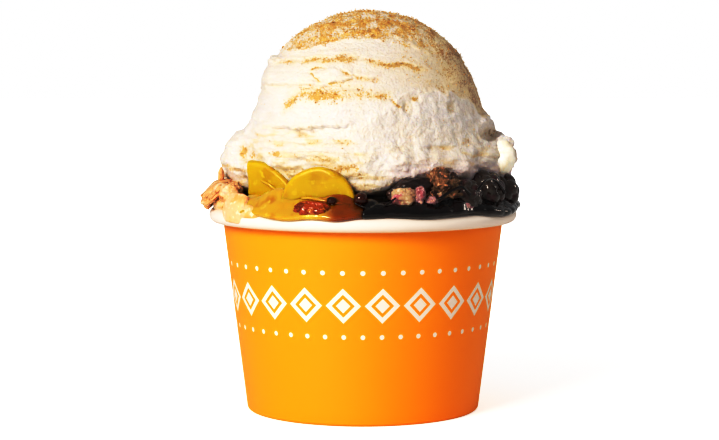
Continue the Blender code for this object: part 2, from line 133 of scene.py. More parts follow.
def crumb_noise(points: np.ndarray, cell: float, seed: int) -> np.ndarray:
    """Rounded crumbs, 1 at their tops and about 0.5 in the creases.

    Each cell of a grid has one random middle; the value is the root of 1 minus the squared distance to the
    nearest.
    """
    scaled = np.asarray(points) / cell
    low = np.floor(scaled).astype(np.int64)
    nearest = np.full(scaled.shape[:-1], 1.0)
    for step in itertools.product((-1, 0, 1), repeat=3):
        near = low + step
        middle = near + 0.5 + 0.42 * np.stack([cell_value(near, seed + axis) for axis in range(3)], axis=-1)
        nearest = np.minimum(nearest, ((scaled - middle) ** 2).sum(axis=-1))
    return np.sqrt(1.0 - nearest)


def spline(stops: np.ndarray, along: np.ndarray) -> np.ndarray:
    """Catmull-Rom curve through stops.

    Args:
        stops: values at (stop, point); the first and last stop only steer the curve's ends.
        along: where to read it, from 0 at the second stop to 1 at the last but one, for each point.

    Returns:
        One value a point.
    """
    spans = len(stops) - 3
    place = np.clip(along, 0.0, 1.0) * spans
    first = np.minimum(place.astype(int), spans - 1)
    u = place - first
    p0, p1, p2, p3 = (np.take_along_axis(stops, (first + step)[None], axis=0)[0] for step in range(4))
    return 0.5 * (
        2 * p1 + (p2 - p0) * u + (2 * p0 - 5 * p1 + 4 * p2 - p3) * u**2 + (3 * p1 - p0 - 3 * p2 + p3) * u**3
    )


@dataclass
class Surface:
    """A mesh in the making: points, faces of one size, and named values at the points."""

    points: np.ndarray
    faces: list[np.ndarray]
    values: dict[str, np.ndarray] = field(default_factory=dict)

    def outward(self) -> Surface:
        """Turn the faces round if the closed surface's signed volume says that they point inwards."""
        volume = 0.0
        for block in self.faces:
            a, b, c = (self.points[block[:, corner]] for corner in (0, 1, 2))
            volume += np.einsum("ij,ij->i", a, np.cross(b, c)).sum()
            if block.shape[1] == 4:
                d = self.points[block[:, 3]]
                volume += np.einsum("ij,ij->i", a, np.cross(c, d)).sum()
        if volume < 0:
            self.faces = [block[:, ::-1] for block in self.faces]
        return self

    def mesh(self, name: str) -> bpy.types.Mesh:
        """The Blender mesh, smooth shaded, with each value as a float attribute of its points."""
        made = bpy.data.meshes.new(name)
        corners = np.concatenate([block.ravel() for block in self.faces])
        sizes = np.concatenate([np.full(len(block), block.shape[1]) for block in self.faces])
        made.vertices.add(len(self.points))
        made.vertices.foreach_set("co", self.points.astype(np.float32).ravel())
        made.loops.add(len(corners))
        made.loops.foreach_set("vertex_index", corners.astype(np.int32))
        made.polygons.add(len(sizes))
        made.polygons.foreach_set("loop_start", (np.cumsum(sizes) - sizes).astype(np.int32))
        made.polygons.foreach_set("loop_total", sizes.astype(np.int32))
        for label, value in self.values.items():
            layer = made.attributes.new(label, "FLOAT", "POINT")
            layer.data.foreach_set("value", value.astype(np.float32).ravel())
        made.update()
        made.validate()
        made.shade_smooth()
        return made


def ball_surface(grid: np.ndarray, values: dict[str, np.ndarray] | None = None) -> Surface:
    """A closed surface from a grid: its columns wrap round, and its first and last row each close to a pole.

    Args:
        grid: points at (row, column, xyz).
        values: named values at (row, column).

    Returns:
        The surface, its faces outward.
    """
    rows, columns = grid.shape[:2]
    points = np.concatenate((grid[:1].mean(axis=1), grid.reshape(-1, 3), grid[-1:].mean(axis=1)))
    index = 1 + np.arange(rows * columns).reshape(rows, columns)
    turned = np.roll(index, -1, axis=1)
    quads = np.stack((index[:-1], index[1:], turned[1:], turned[:-1]), axis=-1).reshape(-1, 4)
    top = np.stack((np.zeros(columns, int), index[0], turned[0]), axis=-1)
    bottom = np.stack((np.full(columns, len(points) - 1), turned[-1], index[-1]), axis=-1)
    named = {
        label: np.concatenate((value[:1].mean(axis=1), value.ravel(), value[-1:].mean(axis=1)))
        for label, value in (values or {}).items()
    }
    return Surface(points, [quads, top, bottom], named).outward()


def ring_surface(grid: np.ndarray, values: dict[str, np.ndarray] | None = None) -> Surface:
    """A closed surface from a grid whose rows and columns both wrap round, such as a rolled board."""
    rows, columns = grid.shape[:2]
    index = np.arange(rows * columns).reshape(rows, columns)
    down, across = np.roll(index, -1, axis=0), np.roll(index, -1, axis=1)
    quads = np.stack((index, down, np.roll(down, -1, axis=1), across), axis=-1).reshape(-1, 4)
    named = {label: value.ravel() for label, value in (values or {}).items()}
    return Surface(grid.reshape(-1, 3), [quads], named).outward()


def in_mm(points: np.ndarray) -> tuple[np.ndarray, np.ndarray, np.ndarray]:
    """The points' x, y and z as three arrays in mm."""
    x, y, z = (points[..., axis] / MM for axis in range(3))
    return x, y, z


def in_front(points: np.ndarray) -> np.ndarray:
    """1 on the front of the scoop and 0 behind it, past y = 8 mm."""
    return smooth_step(8.0, -1.0, points[..., 1] / MM)


def turned(reach: np.ndarray, height: np.ndarray, bearing: np.ndarray) -> np.ndarray:
    """A section carried round the axis: points at (row, column) from radii and heights, and the bearings."""
    x = reach * np.cos(bearing)
    return np.stack((x, reach * np.sin(bearing), np.broadcast_to(height, x.shape)), axis=-1)


def unit_ball(rows: int, columns: int) -> np.ndarray:
    """Directions on a grid of (row, column, xyz): rows run from near +Z to near -Z, without the two poles."""
    polar = math.pi * (np.arange(rows) + 0.5) / rows
    azimuth = 2 * math.pi * np.arange(columns) / columns
    polar, azimuth = np.meshgrid(polar, azimuth, indexing="ij")
    reach = np.sin(polar)
    return np.stack((reach * np.cos(azimuth), reach * np.sin(azimuth), np.cos(polar)), axis=-1)


def spread_directions(count: int) -> np.ndarray:
    """Even directions on a ball: each turns on by the golden angle and drops by the same height."""
    step = np.arange(count)
    height = 1.0 - 2.0 * (step + 0.5) / count
    turn = step * math.pi * (3.0 - math.sqrt(5.0))
    reach = np.sqrt(1.0 - height**2)
    return np.stack((reach * np.cos(turn), reach * np.sin(turn), height), axis=-1)


def placed(points: np.ndarray, place: np.ndarray) -> np.ndarray:
    """Points carried by a 4 by 4 matrix."""
    return points @ place[:3, :3].T + place[:3, 3]


def ring_place(
    azimuth_deg: float,
    reach: float,
    height: float,
    turn_deg: float = 0.0,
    tilt_deg: float = 0.0,
    roll_deg: float = 0.0,
) -> np.ndarray:
    """A topping's place on the ring round the scoop.

    Args:
        azimuth_deg: its bearing round the cup's axis, from +X.
        reach: its distance from the axis, in mm.
        height: its height, in mm.
        turn_deg: a turn about Z after local -Y has been pointed outward.
        tilt_deg: a turn about local X.
        roll_deg: a turn about local Y.

    Returns:
        A 4 by 4 matrix.
    """
    azimuth = math.radians(azimuth_deg)
    where = Matrix.Translation((reach * MM * math.cos(azimuth), reach * MM * math.sin(azimuth), height * MM))
    face_out = Matrix.Rotation(azimuth + math.pi / 2 + math.radians(turn_deg), 4, "Z")
    tilt = Matrix.Rotation(math.radians(tilt_deg), 4, "X")
    roll = Matrix.Rotation(math.radians(roll_deg), 4, "Y")
    return np.array(where @ face_out @ tilt @ roll)


# Materials


def linear(colour: str) -> tuple[float, float, float, float]:
    """An sRGB hex colour as linear red, green, blue and an alpha of 1."""
    parts = [int(colour[start : start + 2], 16) / 255 for start in (1, 3, 5)]
    red, green, blue = (p / 12.92 if p <= 0.04045 else ((p + 0.055) / 1.055) ** 2.4 for p in parts)
    return red, green, blue, 1.0


def add_node(
    tree: bpy.types.NodeTree, kind: str, inputs: dict | None = None, **settings: object
) -> bpy.types.Node:
    """Add a node.

    Args:
        tree: the node tree.
        kind: the node's type name.
        inputs: input name or index to a value, or to another node's output, which is linked.
        settings: properties of the node.

    Returns:
        The node.
    """
    made = tree.nodes.new(kind)
    for label, value in settings.items():
        setattr(made, label, value)
    for socket, value in (inputs or {}).items():
        if isinstance(value, bpy.types.NodeSocket):
            tree.links.new(value, made.inputs[socket])
        else:
            made.inputs[socket].default_value = value
    return made


class Paint:
    """A material in the making, with short ways to add the nodes that every finish uses."""

    def __init__(self, name: str) -> None:
        """Start the material with its node tree, its Principled shader and Object coordinates, in metres."""
        self.material = bpy.data.materials.new(name)
        self.material.use_nodes = True
        self.tree = self.material.node_tree
        self.shader = self.tree.nodes["Principled BSDF"]
        self.place = add_node(self.tree, "ShaderNodeTexCoord").outputs["Object"]

    def noise(self, size_mm: float, detail: float = 2.0) -> Socket:
        """Noise from 0 to 1 with features of this size."""
        inputs = {"Vector": self.place, "Scale": MM_PER_METRE / size_mm, "Detail": detail}
        return add_node(self.tree, "ShaderNodeTexNoise", inputs).outputs["Fac"]

    def value(self, label: str) -> Socket:
        """The piece's own value of that name."""
        return add_node(self.tree, "ShaderNodeAttribute", attribute_name=label).outputs["Fac"]

    def part(self, axis: str) -> Socket:
        """One coordinate of the place: X, Y or Z."""
        return add_node(self.tree, "ShaderNodeSeparateXYZ", {0: self.place}).outputs[axis]

    def calc(self, operation: str, *values: Socket | float) -> Socket:
        """The result of a Math node on these values."""
        return add_node(self.tree, "ShaderNodeMath", dict(enumerate(values)), operation=operation).outputs[0]

    def length(self, vector: Socket) -> Socket:
        """The length of a vector."""
        return add_node(self.tree, "ShaderNodeVectorMath", {0: vector}, operation="LENGTH").outputs["Value"]

    def ramp(self, value: Socket, low: float, high: float, kind: str = "SMOOTHSTEP") -> Socket:
        """0 below low, 1 above high and a smooth or a straight rise between."""
        inputs = {"Value": value, 1: low, 2: high}
        return add_node(self.tree, "ShaderNodeMapRange", inputs, interpolation_type=kind).outputs[0]

    def blend(self, share: Socket, first: Socket | str, second: Socket | str) -> Socket:
        """A colour from first at share 0 to second at share 1; each is a hex colour or a node's output."""
        first, second = (linear(end) if isinstance(end, str) else end for end in (first, second))
        inputs = {0: share, 6: first, 7: second}
        return add_node(self.tree, "ShaderNodeMix", inputs, data_type="RGBA").outputs[2]

    def finished(
        self, colour: Socket, height: Socket, strength: float, depth: float, constants: dict[str, object]
    ) -> bpy.types.Material:
        """The material, once the shader has its colour, its bump and its constants.

        Args:
            colour: the base colour.
            height: the bump's height, from 0 to 1.
            strength: the bump's strength.
            depth: the bump's depth in metres.
            constants: the shader's other inputs by name.

        Returns:
            The finished material.
        """
        relief = {"Height": height, "Strength": strength, "Distance": depth}
        bump = add_node(self.tree, "ShaderNodeBump", relief)
        self.tree.links.new(colour, self.shader.inputs["Base Color"])
        self.tree.links.new(bump.outputs[0], self.shader.inputs["Normal"])
        for label, constant in constants.items():
            self.shader.inputs[label].default_value = constant
        return self.material


@dataclass(frozen=True)
class FoodFinish:
    """A food's cut, baked or wet surface: two colours in patches, a third in specks, and a grain as bump.

    Patch, speck and grain sizes are in mm. Wet is the weight of the clear coat of syrup or melt. A stain is a
    colour and the two places across the part, in mm, where it starts and where it is full; the patches' noise
    shifts both about 3 mm towards -X.
    """

    name: str
    base: str
    patch: str
    speck: str
    patch_size: float = 4.0
    patch_share: float = 0.5
    speck_size: float = 1.0
    speck_share: float = 0.3
    roughness: float = 0.45
    wet: float = 0.0
    wet_roughness: float = 0.06
    glow: float = 0.2
    glow_depth: float = 1.5
    glow_tint: tuple[float, float, float] = (1.0, 0.5, 0.25)
    grain_size: float = 0.8
    grain_height: float = 0.15
    stains: tuple[tuple[str, float, float], ...] = ()
    stain_wander: float = 6.0

    def material(self) -> bpy.types.Material:
        """Build the material from Object coordinates, so its patterns keep their real size on every piece."""
        paint = Paint(self.name)
        patches = paint.noise(self.patch_size, 3.0)
        shift = 0.4 * self.patch_share
        colour = paint.blend(paint.ramp(patches, 0.68 - shift, 0.82 - shift), self.base, self.patch)
        shift = 0.3 * self.speck_share
        specks = paint.ramp(paint.noise(self.speck_size), 0.66 - shift, 0.76 - shift)
        colour = paint.blend(specks, colour, self.speck)
        for stain, start, full in self.stains:
            across = paint.calc("MULTIPLY_ADD", patches, self.stain_wander * MM, paint.part("X"))
            colour = paint.blend(paint.ramp(across, start * MM, full * MM), colour, stain)
        constants = {
            "Roughness": self.roughness,
            "IOR": WATERY_IOR,
            "Coat Weight": self.wet,
            "Coat Roughness": self.wet_roughness,
            "Coat IOR": WATERY_IOR,
            "Subsurface Weight": self.glow,
            "Subsurface Radius": self.glow_tint,
            "Subsurface Scale": self.glow_depth * MM,
        }
        grain = paint.noise(self.grain_size, 4.0)
        return paint.finished(colour, grain, 0.7, self.grain_height * MM, constants)


@dataclass(frozen=True)
class DustedIceCream:
    """Vanilla ice cream, churned and scooped: matt, slightly translucent fat and ice, dusted with cinnamon.

    The cinnamon follows the surface's own dust value: a speck of noise shows where it passes 1 minus dust.
    A value of the surface browns the cream and thins the cinnamon's colour: in places as the finest powder
    does, and in the torn layer's creases and on the right flank as painted shade. Past x = 12 mm the cinnamon
    turns to its shaded colour. Sizes are in mm.
    """

    name: str = "churned_vanilla_ice_cream"
    cream: str = "#E0DCDC"
    shade: str = "#DCD5CE"
    cinnamon_light: str = "#EBCB8C"
    cinnamon_dark: str = "#C79C60"
    cinnamon_shaded: str = "#B89D7F"
    cinnamon_thin: str = "#CBAF84"
    berry_stain: str = "#E2D4DC"
    # Tan of fine cinnamon, and of painted shade in the torn layer's creases and on the right flank.
    haze_and_shade: str = "#DFCFB6"
    tint: float = 9.0
    grain: float = 0.5
    clump: float = 2.6
    clump_share: float = 0.35
    frost: float = 0.7
    frost_depth: float = 0.48
    shaded_from: float = 12.0
    shaded_to: float = 34.0

    def material(self) -> bpy.types.Material:
        """Build the material from Object coordinates and the surface's dust, stain and haze values."""
        paint = Paint(self.name)
        # Tan from fine cinnamon, and painted shade in the torn layer's creases and on the right flank.
        haze_and_shade = paint.value("haze_and_shade")
        cream = paint.blend(paint.noise(self.tint), self.cream, self.shade)
        cream = paint.blend(haze_and_shade, cream, self.haze_and_shade)
        cream = paint.blend(paint.value("stain"), cream, self.berry_stain)
        clumps = paint.noise(self.clump, 3.0)
        inputs = {0: self.clump_share, 2: paint.noise(self.grain), 3: clumps}
        specks = add_node(paint.tree, "ShaderNodeMix", inputs, data_type="FLOAT").outputs[0]
        cover = paint.ramp(paint.calc("ADD", specks, paint.value("dust")), 0.95, 1.05)
        hue = paint.ramp(clumps, 0.35, 0.65, "LINEAR")
        cinnamon = paint.blend(hue, self.cinnamon_dark, self.cinnamon_light)
        cinnamon = paint.blend(haze_and_shade, cinnamon, self.cinnamon_thin)
        flank = paint.ramp(paint.part("X"), self.shaded_from * MM, self.shaded_to * MM)
        cinnamon = paint.blend(flank, cinnamon, self.cinnamon_shaded)
        constants = {
            "Roughness": 0.5,
            "IOR": 1.35,
            "Subsurface Weight": 0.5,
            "Subsurface Radius": (1.0, 0.78, 0.5),
            "Subsurface Scale": 1.8 * MM,
        }
        colour = paint.blend(cover, cream, cinnamon)
        return paint.finished(colour, paint.noise(self.frost, 5.0), 0.9, self.frost_depth * MM, constants)


@dataclass(frozen=True)
class PrintedBoard:
    """Clay-coated cup board, offset printed and varnished: even ink, a satin sheen and a faint fibre grain.

    The ink covers the outside where the surface's ink value is 1. A white print runs round it: a row of bold
    diamonds, each a thick outline round a solid middle, between two rows of dots.
    """

    name: str = "printed_cup_board"
    ink: str = "#FFA705"
    board: str = "#ECE2DA"
    repeats: int = 22
    middle: float = 36.6 * MM
    half_height: float = 5.3 * MM
    stroke: float = 0.95 * MM
    heart: float = 2.2 * MM
    mean_radius: float = 40.7 * MM
    dot: float = 0.75 * MM
    dot_rows: tuple[float, float] = (46.4 * MM, 27.2 * MM)
    # The board's fibres: their width and relief, in mm.
    fibre: float = 1.2
    fibre_depth: float = 0.05

    def material(self) -> bpy.types.Material:
        """Build the material: the print is worked out from the bearing round the axis and the height."""
        paint = Paint(self.name)
        pitch = 2 * math.pi * self.mean_radius / self.repeats
        height = paint.part("Z")
        bearing = paint.calc("ARCTAN2", paint.part("Y"), paint.part("X"))
        along = paint.calc("MULTIPLY", bearing, self.mean_radius)
        above = paint.calc("ABSOLUTE", paint.calc("SUBTRACT", height, self.middle))
        away = paint.calc("ADD", paint.calc("PINGPONG", along, pitch / 2), above)
        outline = paint.calc("COMPARE", away, self.half_height - self.stroke, self.stroke)
        white = paint.calc("MAXIMUM", outline, paint.calc("LESS_THAN", away, self.heart))
        dot_aside = paint.calc("PINGPONG", along, pitch / 4)
        for row in self.dot_rows:
            ends = {0: dot_aside, 1: paint.calc("SUBTRACT", height, row)}
            reach = paint.length(add_node(paint.tree, "ShaderNodeCombineXYZ", ends).outputs[0])
            white = paint.calc("MAXIMUM", white, paint.calc("LESS_THAN", reach, self.dot))
        inked = paint.calc("MULTIPLY", paint.value("ink"), paint.calc("SUBTRACT", 1.0, white))
        colour = paint.blend(inked, self.board, self.ink)
        fibre = paint.noise(self.fibre, 4.0)
        return paint.finished(colour, fibre, 0.25, self.fibre_depth * MM, {"Roughness": 0.42, "IOR": 1.5})


class Finishes(Enum):
    """Every finish on the part: the record's slots by their names, and variants of a slot's finish."""

    orange_board = PrintedBoard()
    # Uncoated board: matt, off-white, faintly fibrous.
    white_board = FoodFinish(
        "uncoated_base_board", "#F4EFE6", "#ECE5D8", "#F8F4EE", roughness=0.7, glow=0.0, grain_height=0.05,
    )
    ice_cream = DustedIceCream()
    # Ground cinnamon and brown sugar: dry grains from pale gold to brown.
    ground_cinnamon = FoodFinish(
        "ground_cinnamon_sugar", "#E2BC80", "#C79C5E", "#F2E2C0", patch_size=1.6, speck_size=0.9,
        speck_share=0.4, roughness=0.6, glow=0.0, grain_height=0.05,
    )
    # Melting ice cream: whiter and smoother than the churned body, with a wet skin.
    melted_cream = FoodFinish(
        "melting_vanilla_cream", "#FAF3E6", "#F4E8D4", "#FDF9F0", patch_size=3.0, roughness=0.4, wet=0.4,
        wet_roughness=0.16, glow=0.5, glow_depth=1.8, glow_tint=(1.0, 0.85, 0.65), grain_size=1.4,
        grain_height=0.12,
    )
    # Boiled peach syrup: a clear amber gel that goes red, then black, where the berries bled into it.
    peach_syrup = FoodFinish(
        "amber_peach_syrup", "#CBA838", "#BB8E28", "#D5B84C", patch_size=7.0, patch_share=0.4,
        speck_size=3.0, speck_share=0.2, roughness=0.12, wet=1.0, glow=0.6, glow_depth=3.0,
        grain_size=3.0, grain_height=0.25, stains=(("#94520F", -11.0, -4.0), ("#3C1E14", 0.0, 5.0)),
    )
    # Boiled berry syrup: almost black, mirror wet.
    berry_syrup = FoodFinish(
        "black_berry_syrup", "#1C1818", "#281A1A", "#161313", patch_size=5.0, roughness=0.1, wet=1.0,
        wet_roughness=0.03, glow=0.0, grain_size=2.6, grain_height=0.5,
    )
    # Canned peach flesh, cut with a knife: deep yellow, translucent, glazed.
    peach_flesh = FoodFinish(
        "glazed_peach_flesh", "#C7AC13", "#BD9D11", "#CFB624", patch_size=8.0, patch_share=0.4,
        speck_size=2.4, roughness=0.42, wet=0.2, wet_roughness=0.12, glow=0.6, glow_depth=3.0,
        grain_size=1.6, grain_height=0.12,
    )
    # Peach flesh from beside the stone, stained red.
    red_peach = FoodFinish(
        "stone_side_peach_flesh", "#AC561C", "#843816", "#C27E2C", patch_share=0.6, speck_size=2.0,
        roughness=0.2, wet=1.0, glow=0.5, glow_depth=2.0, grain_size=1.2, grain_height=0.2,
    )
    # A small whole berry or drupelet in clear syrup: garnet dark, mirror wet.
    garnet_drop = FoodFinish(
        "garnet_syrup_drop", "#4A2016", "#341814", "#6A2C18", patch_size=2.0, roughness=0.1, wet=1.0,
        wet_roughness=0.03, glow=0.1, grain_size=2.0, grain_height=0.03,
    )
    # Baked biscuit crust: dry, golden brown on the crags and pale in the torn crumb.
    baked_crust = FoodFinish(
        "baked_biscuit_crust", "#DEB28A", "#E6D0B4", "#B88454", patch_size=5.0, speck_size=2.2,
        speck_share=0.25, roughness=0.55, wet=0.25, wet_roughness=0.25, glow=0.3, grain_size=0.9,
        grain_height=0.3,
    )
    # Steamed dough: soft, pale cream, moist with syrup.
    pale_dough = FoodFinish(
        "steamed_pale_dough", "#ECC4A0", "#E4B480", "#F3DCC2", patch_size=6.0, speck_size=1.6,
        roughness=0.4, wet=0.35, wet_roughness=0.2, glow=0.45, glow_depth=2.0, grain_size=1.3,
        grain_height=0.25,
    )
    # Crust soaked in berry syrup: dark brown with black, wet hollows.
    stained_crust = FoodFinish(
        "syrup_soaked_crust", "#967554", "#4A2E27", "#C49878", patch_share=0.58, speck_size=1.2,
        speck_share=0.35, roughness=0.4, wet=0.7, wet_roughness=0.12, glow=0.1, grain_size=0.9,
        grain_height=0.5,
    )
    # Dough torn open beside the berries: tan crumb with crimson stains.
    stained_dough = FoodFinish(
        "berry_stained_dough", "#C1A88E", "#BC7C84", "#D4C4AE", patch_size=3.6, patch_share=0.35,
        speck_size=1.2, roughness=0.4, wet=0.6, wet_roughness=0.12, glow=0.3, grain_size=0.9,
        grain_height=0.3,
    )
    # The same dough right beside the berries: soaked crimson and magenta.
    crimson_dough = FoodFinish(
        "crimson_soaked_dough", "#B89296", "#A0646F", "#D6B6A8", patch_size=2.4, roughness=0.35, wet=0.8,
        wet_roughness=0.1, glow=0.3, grain_height=0.3,
    )
    # Crust drowned in berry syrup: black, wet and lumpy.
    drowned_crust = FoodFinish(
        "syrup_drowned_crust", "#3A2A28", "#5A3C34", "#2A2020", patch_size=3.0, roughness=0.3, wet=1.0,
        wet_roughness=0.08, glow=0.0, grain_size=1.0, grain_height=0.35,
    )
    # A ripe berry's skin under syrup: blue-black, with a wine red cast in the gaps.
    dark_berry = FoodFinish(
        "glazed_dark_berry_skin", "#4A3F3A", "#573A3C", "#554D48", patch_size=3.5, speck_size=1.5,
        roughness=0.16, wet=1.0, wet_roughness=0.04, glow=0.05, grain_size=2.0, grain_height=0.06,
    )


@dataclass
class Dresser:
    """Puts finished surfaces into the scene, rides them on the part and gives them their finish."""

    nodes: frozenset[str]
    made: dict[str, bpy.types.Material] = field(default_factory=dict)

    def finish(self, slot: str) -> bpy.types.Material:
        """The slot's material, built once."""
        if slot not in self.made:
            self.made[slot] = Finishes[slot].value.material()
        return self.made[slot]

    def show(
        self, name: str, surface: Surface, slot: str, node: str = "", finish: str = ""
    ) -> bpy.types.Object:
        """Add a piece.

        Args:
            name: the piece's name.
            surface: its shape, in place.
            slot: the record's material slot.
            node: the CAD node that it stands for, where that doesn't have the piece's own name.
            finish: its finish, where that isn't the slot's own.

        Returns:
            The object, at the origin, unturned and unscaled.
        """
        piece = bpy.data.objects.new(name, surface.mesh(name))
        bpy.context.scene.collection.objects.link(piece)
        piece.data.materials.append(self.finish(finish or slot))
        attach(piece, BODY)
        if (node or name) in self.nodes:
            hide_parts(node or name)
        log.info("%s: %d faces", name, len(piece.data.polygons))
        return piece


# The cup


@dataclass
class PaperCup:
    """A cone of printed board with a turned-in hem and a rolled rim, and a recessed base."""

    board: float = 0.5 * MM
    foot_radius: float = 36.1 * MM
    shoulder_radius: float = 43.5 * MM
    shoulder_height: float = 58.6 * MM
    bead_radius: float = 2.3 * MM
    base_height: float = 5.6 * MM
    fold: float = 0.8 * MM
    curl: float = math.radians(305)
    columns: int = 240
    lap_bearing: float = math.radians(97)
    lap_step: float = 0.35 * MM
    lap_fade: float = 0.16
    first_inked: int = 7

    def wall_radius(self, height: float) -> float:
        """Outer radius of the cone at a height: it grows evenly from foot to shoulder."""
        slope = (self.shoulder_radius - self.foot_radius) / self.shoulder_height
        return self.foot_radius + slope * height

    def bead_centre(self) -> tuple[float, float]:
        """Radius and height of the rolled rim's centre: it stands on the shoulder, outside the cone."""
        height = self.shoulder_height + self.bead_radius
        return self.wall_radius(height) - self.board + self.bead_radius, height

    def middle_line(self) -> np.ndarray:
        """The wall board's middle line as (radius, height): hem, half a turn of fold, cone and curl."""
        outside = self.wall_radius(0.0) - self.board / 2
        lean = self.wall_radius(1.0) - self.wall_radius(0.0)
        fold_height = self.fold + self.board / 2
        hem_top = self.base_height - 0.9 * MM
        inside = outside - 2 * self.fold
        hem = np.linspace((inside + lean * hem_top, hem_top), (inside, fold_height), 3)
        turn = np.linspace(math.pi, 2 * math.pi, 9)[:, None]
        fold_middle = np.array((outside - self.fold + lean * fold_height, fold_height))
        fold = fold_middle + self.fold * np.concatenate((np.cos(turn), np.sin(turn)), axis=1)
        heights = np.array((4.0, 12.0, 22.0, 32.0, 42.0, 52.0, 58.3, 58.5)) * MM
        cone = np.stack((outside + lean * heights, heights), axis=1)
        angle = (math.pi - np.linspace(0.0, self.curl, 30))[:, None]
        radius = self.bead_radius - self.board / 2
        curl = np.array(self.bead_centre()) + radius * np.concatenate((np.cos(angle), np.sin(angle)), axis=1)
        return np.concatenate((hem[:-1], fold, cone, curl))

    def section(self) -> tuple[np.ndarray, np.ndarray]:
        """The wall's closed section: the middle line moved half the board out, then back half the board in.

        Returns:
            The points as (radius, height), and the ink value of each: 1 on the outside below the rolled rim.
        """
        line = self.middle_line()
        run = np.gradient(line, axis=0)
        run /= np.linalg.norm(run, axis=1)[:, None]
        normal = np.stack((run[:, 1], -run[:, 0]), axis=1)
        outer = line + normal * self.board / 2
        inner = line - normal * self.board / 2
        inked = (np.arange(len(line)) >= self.first_inked) & (outer[:, 1] < self.shoulder_height - 0.15 * MM)
        ink = np.concatenate((inked, np.zeros(len(line)))).astype(float)
        return np.concatenate((outer, inner[::-1])), ink

    def bearings(self) -> np.ndarray:
        """Bearings of the wall's columns: even, with extra ones where the board laps."""
        even = np.linspace(0.0, 2 * math.pi, self.columns, endpoint=False)
        lap = self.lap_bearing + np.array((-0.004, -0.001, 0.001, 0.004))
        return np.sort(np.concatenate((even, lap)))

    def wall(self) -> Surface:
        """The wall: its section turned round the axis, with the step of the glued lap at the back."""
        section, ink = self.section()
        bearing = self.bearings()
        past = (bearing - self.lap_bearing) % (2 * math.pi)
        step = self.lap_step * np.exp(-past / self.lap_fade) * (past < 1.0)
        below = smooth_step(58.4 * MM, 57.0 * MM, section[:, 1]) * (ink > 0)
        reach = section[:, :1] + step[None] * below[:, None]
        grid = turned(reach, section[:, 1:], bearing)
        return ring_surface(grid, {"ink": np.repeat(ink[:, None], len(bearing), axis=1)})

    def base(self) -> Surface:
        """The base: a disc with its edge turned down between the wall and the hem."""
        lean = self.wall_radius(1.0) - self.wall_radius(0.0)
        outside = self.wall_radius(0.0) - self.board / 2 - self.fold
        half = self.board / 2
        foot = 1.6 * MM
        top, low = self.base_height + half, self.base_height - half
        rim = outside + lean * self.base_height
        section = np.array(
            (
                (0.3 * rim, top),
                (rim - 0.9 * MM, top),
                (rim - 0.25 * MM, top - 0.15 * MM),
                (rim + half, top - 0.8 * MM),
                (outside + lean * foot + half, foot),
                (outside + lean * foot - half, foot),
                (rim - half, low - 0.75 * MM),
                (rim - 0.9 * MM, low),
                (0.3 * rim, low),
            )
        )
        bearing = np.linspace(0.0, 2 * math.pi, 96, endpoint=False)
        return ball_surface(turned(section[:, :1], section[:, 1:], bearing))

    def build(self, dresser: Dresser) -> None:
        """Show the wall and the base."""
        dresser.show("printed_wall", self.wall(), "orange_board", "cup_wall")
        dresser.show("recessed_base", self.base(), "white_board", "cup_base")


# The contents


@dataclass(frozen=True)
class Pool:
    """A swelling of gathered syrup: where it is, its half widths and how far it rises, in mm."""

    azimuth_deg: float
    reach: float
    along: float
    across: float
    lift: float

    def rise(self, x: np.ndarray, y: np.ndarray) -> np.ndarray:
        """Height added at each point: a bell over the distances along and across the ring."""
        azimuth = np.arctan2(y, x)
        turn = (azimuth - math.radians(self.azimuth_deg) + math.pi) % (2 * math.pi) - math.pi
        along = turn * self.reach / self.along
        across = (np.hypot(x, y) / MM - self.reach) / self.across
        return self.lift * MM * np.exp(-(along**2) - across**2)


PEACH_POOLS = (
    Pool(222, 43.0, 8.0, 3.2, 2.2),
    Pool(235, 42.4, 5.0, 4.0, 4.4),
    Pool(253, 43.2, 8.0, 3.2, 2.6),
    Pool(264, 43.2, 5.0, 3.2, 1.4),
)
BERRY_POOLS = (
    Pool(274, 43.4, 5.0, 3.0, 1.4),
    Pool(287, 43.6, 6.0, 3.0, 2.0),
    Pool(300, 44.0, 7.0, 3.0, 2.4),
    Pool(314, 44.0, 7.0, 3.0, 1.8),
    Pool(330, 44.0, 8.0, 3.0, 1.4),
    Pool(348, 44.0, 9.0, 3.0, 1.2),
)


